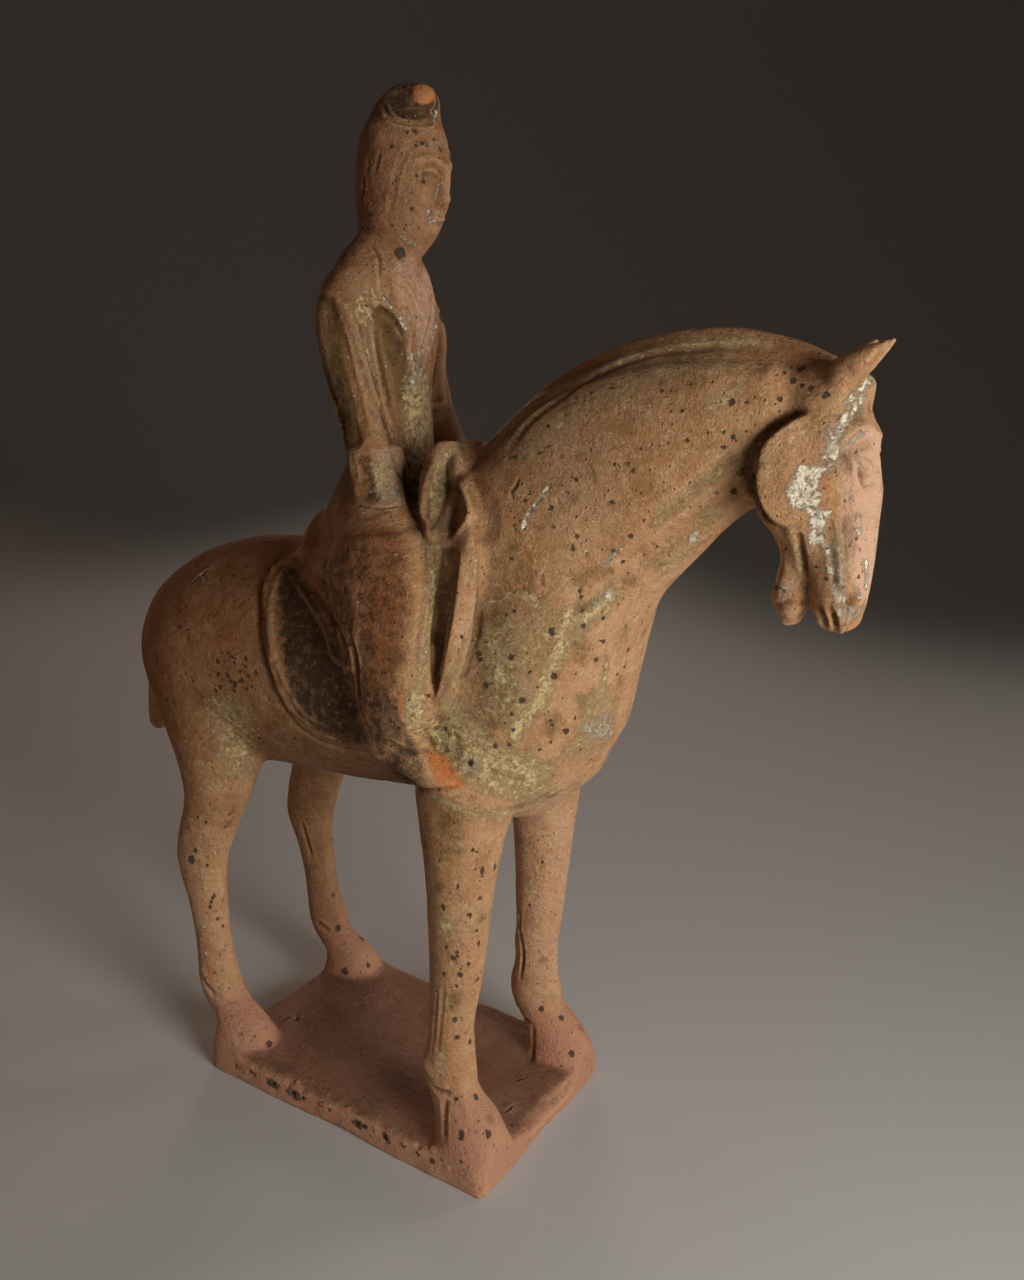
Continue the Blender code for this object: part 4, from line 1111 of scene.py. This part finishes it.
# %% Thin the skin
MOST_TRIANGLES = 194000
KEPT_FINE, CRISP, EYE_REACH, HOLLOW_PASSES = 0.3, 0.05, 8, 14
skin.points[flat_below, 2] = 0
skin.refresh()
hollows = ((skin.averaged(skin.points, HOLLOW_PASSES) - skin.points) * skin.normals).sum(1)
fine = np.array(skin.points)
crisp = sum(np.abs(fields[name] - skin.averaged(fields[name], 2))
            for name in ("specks", "chalk", "ochre"))
eye_gap = np.linalg.norm(np.abs(rest) - np.abs(seen([(867, 468)])[0][0]), axis=1)
in_face = (rest[:, 2] > CHIN + 1) & (rest[:, 2] < EYES + 8) & (rest[:, 0] > FRONT - 8)
kept_fine = np.flatnonzero((crisp > CRISP) | (eye_gap < EYE_REACH) | in_face)
group = clay.vertex_groups.new(name="coarse")
group.add(range(len(fine)), 1.0, "REPLACE")
group.add(kept_fine.tolist(), KEPT_FINE, "REPLACE")
print("kept fine", round(len(kept_fine) / len(fine), 3), "of the skin")
thin = clay.modifiers.new("Thinning", "DECIMATE")
thin.vertex_group = group.name
thin.ratio = MOST_TRIANGLES / (2 * len(clay.data.polygons))

# %% [markdown]
# Decimation loses the painted fields, so each thinned point takes the values of the
# fine point nearest to it, which a KD-tree finds quickly.

# %% The figure with its fields
figure = bpy.data.objects.new("terracotta_figure", evaluated_mesh(clay))
bpy.context.scene.collection.objects.link(figure)
bpy.data.objects.remove(clay, do_unlink=True)
figure.data.shade_smooth()
nearest = KDTree(len(fine))
for number, point in enumerate(fine):
    nearest.insert(point, number)
nearest.balance()
source = [nearest.find(vertex.co * MM)[1] for vertex in figure.data.vertices]
fields["hollow"] = hollows
for name, field in fields.items():
    attribute = figure.data.attributes.new(name, "FLOAT", "POINT")
    attribute.data.foreach_set("value", field[source].astype(np.float32))
print("figure triangles", sum(len(face.vertices) - 2 for face in figure.data.polygons))

# %% [markdown]
# ## The finishes
# Fired red clay is buff to orange and matt. Centuries in the ground left marks on it:
# cream chalk in the hollows, grey-black specks, and brown and olive stains. Painted
# shade darkens the rump, the thigh, the clay turned from the key light, the slab's top
# and the belly, and painted light brightens the mane band and the shaded lap. Where each
# mark lies is painted on the mesh as a soft field, and the material turns a field into a
# crisp, ragged stain with the help of noise.

# %% Material helpers
def linear(colour):
    """A hex sRGB colour as the linear numbers that the shader wants."""
    parts = [int(colour[i:i + 2], 16) / 255 for i in (1, 3, 5)]
    return [p / 12.92 if p <= 0.04045 else ((p + 0.055) / 1.055) ** 2.4 for p in parts] + [1]


def add_node(tree, kind, inputs, output=0, **settings):
    """Add a node with its settings, set or link its inputs, and give one output back."""
    node = tree.nodes.new(kind)
    for name, value in settings.items():
        setattr(node, name, value)
    for name, value in inputs.items():
        if isinstance(value, bpy.types.NodeSocket):
            tree.links.new(value, node.inputs[name])
        else:
            node.inputs[name].default_value = value
    return node.outputs[output]


# %% [markdown]
# ### Fired clay
# Earthenware fired to about 900 degrees is porous, so it scatters light evenly: metallic
# 0, a high roughness and a weak gloss. The clay was not mixed evenly, which shows as
# soft clouds of buff and orange a few centimetres across, with a fine mottling and dark
# and pale grit about a millimetre wide. Each row below is one such cloud: its tone, its
# size in millimetres, its detail, the noise values between which it comes in, and its
# strength. The scraped rows are the same noise drawn out six times along one direction,
# as a scraping tool drags the grit.

# %% Clay body
terracotta = bpy.data.materials.new("terracotta_fired_earthenware")
terracotta.use_nodes = True
tree = terracotta.node_tree
shader = tree.nodes["Principled BSDF"]
for socket, value in [("Metallic", 0.0), ("Roughness", 0.82), ("IOR", 1.5),
                      ("Specular IOR Level", 0.35)]:
    shader.inputs[socket].default_value = value
place = add_node(tree, "ShaderNodeTexCoord", {}, "Object")
in_mm = add_node(tree, "ShaderNodeVectorMath", {0: place, 1: (MM, MM, MM)}, operation="MULTIPLY")
MIX_A, MIX_B, MIXED = 6, 7, 2
CLAY_TONE = "#bf966f"
scraped = add_node(tree, "ShaderNodeMapping", {"Vector": in_mm, "Rotation": (0.3, 0.5, 0.2),
                   "Scale": (0.16, 1.0, 1.0)})
CLAY_CLOUDS = [
    (in_mm, "#b28357", 26, 4, 0.40, 0.64, 0.9),
    (in_mm, "#94693f", 9, 6, 0.48, 0.72, 0.6),
    (in_mm, "#d2b388", 5, 6, 0.53, 0.72, 0.55),
    (scraped, "#8f6a43", 2.4, 5, 0.54, 0.72, 0.45),
    (scraped, "#e0c4a2", 1.3, 5, 0.56, 0.72, 0.45),
    (in_mm, "#7d5c3c", 1.8, 5, 0.55, 0.70, 0.45),
    (in_mm, "#dfc09c", 1.2, 4, 0.57, 0.72, 0.45),
]
colour = linear(CLAY_TONE)
for vector, tone, size, detail, low, high, strength in CLAY_CLOUDS:
    cloud = add_node(tree, "ShaderNodeTexNoise", {"Vector": vector, "Scale": 1 / size,
                     "Detail": detail, "Roughness": 0.62})
    amount = add_node(tree, "ShaderNodeMapRange", {"Value": cloud, "From Min": low,
                      "From Max": high, "To Max": strength})
    colour = add_node(tree, "ShaderNodeMix", {0: amount, MIX_A: colour, MIX_B: linear(tone)},
                      MIXED, data_type="RGBA")
print("clay clouds", len(CLAY_CLOUDS))

# %% [markdown]
# ### Stains over the clay
# Each finish is laid over the one before, the real ones in the order that they came on
# the surface: the browner clay with the painted shade of the rump, thigh and rider, the
# red of the hooves and slab, the darkening with the painted shade of the slab's top and
# belly, olive, pink, soot, fresh orange breaks, then cream, chalk and specks. Olive and
# soot also lay painted shade, and cream painted light. A row gives the field, the tone,
# the size of the noise that frays its edge, how far that noise reaches, the field values
# between which the finish comes in, its strength, and how much its noise is swirled. The
# noise only works where there is some of the finish.

# %% Finishes laid over
FINISHES = [
    # the brown, darkening, olive and soot rows also carry painted shade, and cream painted light
    ("brown_and_shade", "#8c5229", 8, 1.0, 0.1, 1.0, 0.85, 0),
    ("red", "#bd8a70", 9, 0.5, 0.15, 0.9, 0.85, 0),
    ("darkening_and_shade", "#583828", 14, 0.4, 0.0, 1.0, 0.85, 0),
    ("olive_and_shade", "#6d5228", 4, 1.1, 0.15, 1.0, 0.85, 0.4),
    ("pink", "#d3ad95", 4, 1.4, 0.12, 1.0, 0.8, 0.6),
    ("soot_and_shade", "#30241b", 3.0, 1.4, 0.15, 0.95, 0.88, 0.3),
    ("ochre", "#c2763c", 3, 0.5, 0.15, 0.6, 0.9, 0),
    ("cream_and_painted_light", "#e2cd98", 2.2, 2.0, 0.3, 0.95, 0.82, 0.8),
    ("chalk", "#f9f1d8", 2.2, 2.0, 0.32, 0.85, 0.97, 0.4),
    ("specks", "#38322f", 1.0, 0.5, 0.34, 0.5, 0.88, 0),
]
FIELD_EDGE = 0.25
amounts = {}
for name, tone, size, ragged, low, high, strength, swirl in FINISHES:
    here = add_node(tree, "ShaderNodeAttribute", {}, "Fac", attribute_name=name)
    fray = add_node(tree, "ShaderNodeTexNoise", {"Vector": in_mm, "Scale": 1 / size,
                    "Detail": 8, "Roughness": 0.82, "Distortion": swirl})
    wander = add_node(tree, "ShaderNodeMapRange", {"Value": fray, "From Min": 0.3,
                      "From Max": 0.7, "To Min": -ragged / 2, "To Max": ragged / 2})
    present = add_node(tree, "ShaderNodeMapRange", {"Value": here, "From Max": FIELD_EDGE})
    frayed = add_node(tree, "ShaderNodeMath", {0: wander, 1: present, 2: here},
                      operation="MULTIPLY_ADD")
    amounts[name] = add_node(tree, "ShaderNodeMapRange", {"Value": frayed, "From Min": low,
                             "From Max": high, "To Max": strength})
    colour = add_node(tree, "ShaderNodeMix", {0: amounts[name], MIX_A: colour,
                      MIX_B: linear(tone)}, MIXED, data_type="RGBA")
print("finishes", [row[0] for row in FINISHES])

# %% [markdown]
# The hollows are darker and the edges paler, both read from one field that says how
# hollow the clay is, in millimetres. Brown stains and tiny dark and pale dots are
# strewn with Voronoi patterns: each cell has one spot, and the cell's own random colour
# says whether its spot shows at all. A fine noise added to the distance makes the spots
# ragged. A row gives the tone, the cell's size, the spot's edge and core as shares of the
# cell, the share of cells that show it, its strength and how ragged it is.

# %% Darker hollows, paler edges and strewn spots
hollow = add_node(tree, "ShaderNodeAttribute", {}, "Fac", attribute_name="hollow")
HOLLOWS_DARKER_EDGES_PALER = [("#4c3017", 0.06, 0.4, 0.55), ("#d6ab80", -0.06, -0.3, 0.35)]
for tone, low, high, strength in HOLLOWS_DARKER_EDGES_PALER:
    amount = add_node(tree, "ShaderNodeMapRange", {"Value": hollow, "From Min": low,
                      "From Max": high, "To Max": strength})
    colour = add_node(tree, "ShaderNodeMix", {0: amount, MIX_A: colour, MIX_B: linear(tone)},
                      MIXED, data_type="RGBA")
STREWN = [
    ("#6a4f2b", 9, 0.34, 0.06, 0.30, 0.6, 0.5),
    ("#5a452c", 4.5, 0.26, 0.08, 0.22, 0.55, 0.4),
    ("#2b2522", 5.5, 0.10, 0.05, 0.42, 0.85, 0.06),
    ("#33291f", 2.6, 0.15, 0.08, 0.28, 0.6, 0.1),
    ("#ecd9b6", 2.9, 0.16, 0.06, 0.30, 0.5, 0.2),
]
EDGE_GRAIN = 1.4
rough_edge = add_node(tree, "ShaderNodeTexNoise", {"Vector": in_mm, "Scale": 1 / EDGE_GRAIN,
                      "Detail": 5, "Roughness": 0.8})
rough_edge = add_node(tree, "ShaderNodeMath", {0: rough_edge, 1: 0.5}, operation="SUBTRACT")
for tone, size, edge, core, share, strength, ragged in STREWN:
    cells = {"Vector": in_mm, "Scale": 1 / size, "Randomness": 1.0}
    distance = add_node(tree, "ShaderNodeTexVoronoi", cells, "Distance")
    chance = add_node(tree, "ShaderNodeTexVoronoi", cells, "Color")
    shows = add_node(tree, "ShaderNodeMath", {0: chance, 1: share}, operation="LESS_THAN")
    uneven_distance = add_node(tree, "ShaderNodeMath", {0: rough_edge, 1: ragged, 2: distance},
                               operation="MULTIPLY_ADD")
    spot = add_node(tree, "ShaderNodeMapRange", {"Value": uneven_distance, "From Min": edge,
                    "From Max": core, "To Max": strength})
    amount = add_node(tree, "ShaderNodeMath", {0: spot, 1: shows}, operation="MULTIPLY")
    colour = add_node(tree, "ShaderNodeMix", {0: amount, MIX_A: colour, MIX_B: linear(tone)},
                      MIXED, data_type="RGBA")
tree.links.new(colour, shader.inputs["Base Color"])
print("strewn spots", len(STREWN))

# %% [markdown]
# ### Grain
# The relief below the reach of the mesh is a bump: grit and soft dents about one to five
# millimetres wide, and short scrape marks, which are the same noise stretched along one
# direction. Pores are Voronoi cells, and only their middles are sunk. Chalk and cream lie
# on the clay with a thickness of their own, and specks are burnt a little into it.

# %% Grain and scratches
PORE_SPACING, PORE_EDGE, PORE_CORE, PORE_DEPTH, BUMP_MM = 3.4, 0.15, 0.05, 0.9, 1.0
relief = 0.0
for vector, size, detail, strength in [(in_mm, 0.8, 4, 0.55), (in_mm, 2.2, 6, 0.8),
                                       (in_mm, 5.5, 3, 0.8), (scraped, 1.0, 3, 0.6)]:
    grain = add_node(tree, "ShaderNodeTexNoise", {"Vector": vector, "Scale": 1 / size,
                     "Detail": detail, "Roughness": 0.66})
    relief = add_node(tree, "ShaderNodeMath", {0: grain, 1: strength, 2: relief},
                      operation="MULTIPLY_ADD")
pores = add_node(tree, "ShaderNodeTexVoronoi", {"Vector": in_mm, "Scale": 1 / PORE_SPACING,
                 "Randomness": 1.0}, "Distance")
pore = add_node(tree, "ShaderNodeMapRange", {"Value": pores, "From Min": PORE_EDGE,
                "From Max": PORE_CORE, "To Max": -PORE_DEPTH})
relief = add_node(tree, "ShaderNodeMath", {0: relief, 1: pore}, operation="ADD")
for name, thickness in [("chalk", 0.45), ("cream_and_painted_light", 0.35), ("specks", -0.5)]:
    relief = add_node(tree, "ShaderNodeMath", {0: amounts[name], 1: thickness, 2: relief},
                      operation="MULTIPLY_ADD")
bump = add_node(tree, "ShaderNodeBump", {"Height": relief, "Strength": 1.0,
                "Distance": BUMP_MM / MM})
tree.links.new(bump, shader.inputs["Normal"])
figure.data.materials.clear()
figure.data.materials.append(terracotta)
print("nodes", len(tree.nodes))

# %% [markdown]
# ## Floor and light
# The studio is plain: a pale paper floor that bends up into a round wall, so that no
# horizon shows from any side. Half of its outline is drawn as edges and spun round the
# upright axis, which makes an even bowl with one operator.

# %% Floor
FLOOR_RADIUS, BEND, WALL, BEND_STEPS, ROUND = 1.0, 2.2, 2.8, 24, 96
studio = bmesh.new()
corners = [studio.verts.new((0, 0, 0)), studio.verts.new((FLOOR_RADIUS, 0, 0))]
for step in range(1, BEND_STEPS + 1):
    angle = step / BEND_STEPS * math.pi / 2
    corners.append(studio.verts.new((FLOOR_RADIUS + BEND * math.sin(angle), 0,
                                     BEND * (1 - math.cos(angle)))))
corners.append(studio.verts.new((FLOOR_RADIUS + BEND, 0, WALL)))
profile = [studio.edges.new(pair) for pair in zip(corners, corners[1:])]
bmesh.ops.spin(studio, geom=corners + profile, cent=(0, 0, 0), axis=(0, 0, 1), dvec=(0, 0, 0),
               angle=2 * math.pi, steps=ROUND, use_merge=True)
bmesh.ops.remove_doubles(studio, verts=studio.verts, dist=1e-5)
bmesh.ops.recalc_face_normals(studio, faces=studio.faces)
bmesh.ops.reverse_faces(studio, faces=studio.faces)
floor_mesh = bpy.data.meshes.new("floor")
studio.to_mesh(floor_mesh)
studio.free()
floor_mesh.shade_smooth()
floor = bpy.data.objects.new("floor", floor_mesh)
bpy.context.scene.collection.objects.link(floor)
paper = bpy.data.materials.new("matt_paper_floor")
paper.use_nodes = True
paper_shader = paper.node_tree.nodes["Principled BSDF"]
paper_shader.inputs["Base Color"].default_value = linear("#c6c9cd")
paper_shader.inputs["Roughness"].default_value = 0.9
floor_mesh.materials.append(paper)
print("floor faces", len(floor_mesh.polygons))

# %% [markdown]
# One round light is the key. It stands close to the figure and as low as its middle, on
# the side that the head looks to, so it rakes over the clay and shows its relief, and
# leaves the slab's top and the rump in shade. A large weak light in front and a warm one
# at the near side keep the shadows readable. Three more do the same for the back, where
# the camera of the photograph can't see them, with a narrow spread that keeps them off
# the wall. The world adds a trace of warm light from all round.

# %% Lights
LIGHTS = [
    ("key", (0.60, -0.23, 0.26), (0.02, 0, 0.19), 0.34, 2.05, "#fff8ee", 140),
    ("front_fill", (0.55, -1.25, 0.45), (0, 0, 0.2), 1.0, 0.8, "#ffe9d4", 180),
    ("side_fill", (-1.1, -1.0, 0.4), (0, 0, 0.2), 0.8, 0.17, "#ffbc8e", 80),
    ("back", (0.8, 1.4, 0.4), (0, 0, 0.25), 0.6, 1.1, "#fff0e2", 80),
    ("rear", (-0.85, 1.35, 0.4), (0, 0, 0.28), 0.6, 1.2, "#ffe6d0", 80),
    ("tail_side", (-1.6, 0.5, 0.45), (0, 0, 0.25), 0.6, 0.4, "#ffd2ae", 80),
]


def add_light(name, place, target, size, watts, colour, spread):
    """A round soft light that faces a target and isn't seen itself."""
    data = bpy.data.lights.new(name, "AREA")
    data.spread = math.radians(spread)
    data.shape = "DISK"
    data.size = size
    data.energy = watts
    data.color = linear(colour)[:3]
    light = bpy.data.objects.new(name, data)
    light.location = place
    light.rotation_euler = (Vector(target) - Vector(place)).to_track_quat("-Z", "Y").to_euler()
    light.visible_camera = False
    bpy.context.scene.collection.objects.link(light)


for row in LIGHTS:
    add_light(*row)
world = bpy.data.worlds.new("studio")
world.use_nodes = True
glow = world.node_tree.nodes["Background"]
glow.inputs["Color"].default_value = linear("#ffd0aa")
glow.inputs["Strength"].default_value = 0.03
bpy.context.scene.world = world
bpy.context.scene.view_settings.view_transform = "Standard"
print("lights", len(LIGHTS))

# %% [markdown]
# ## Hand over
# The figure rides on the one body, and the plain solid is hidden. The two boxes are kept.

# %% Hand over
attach(figure, "root")
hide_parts(FIGURE)
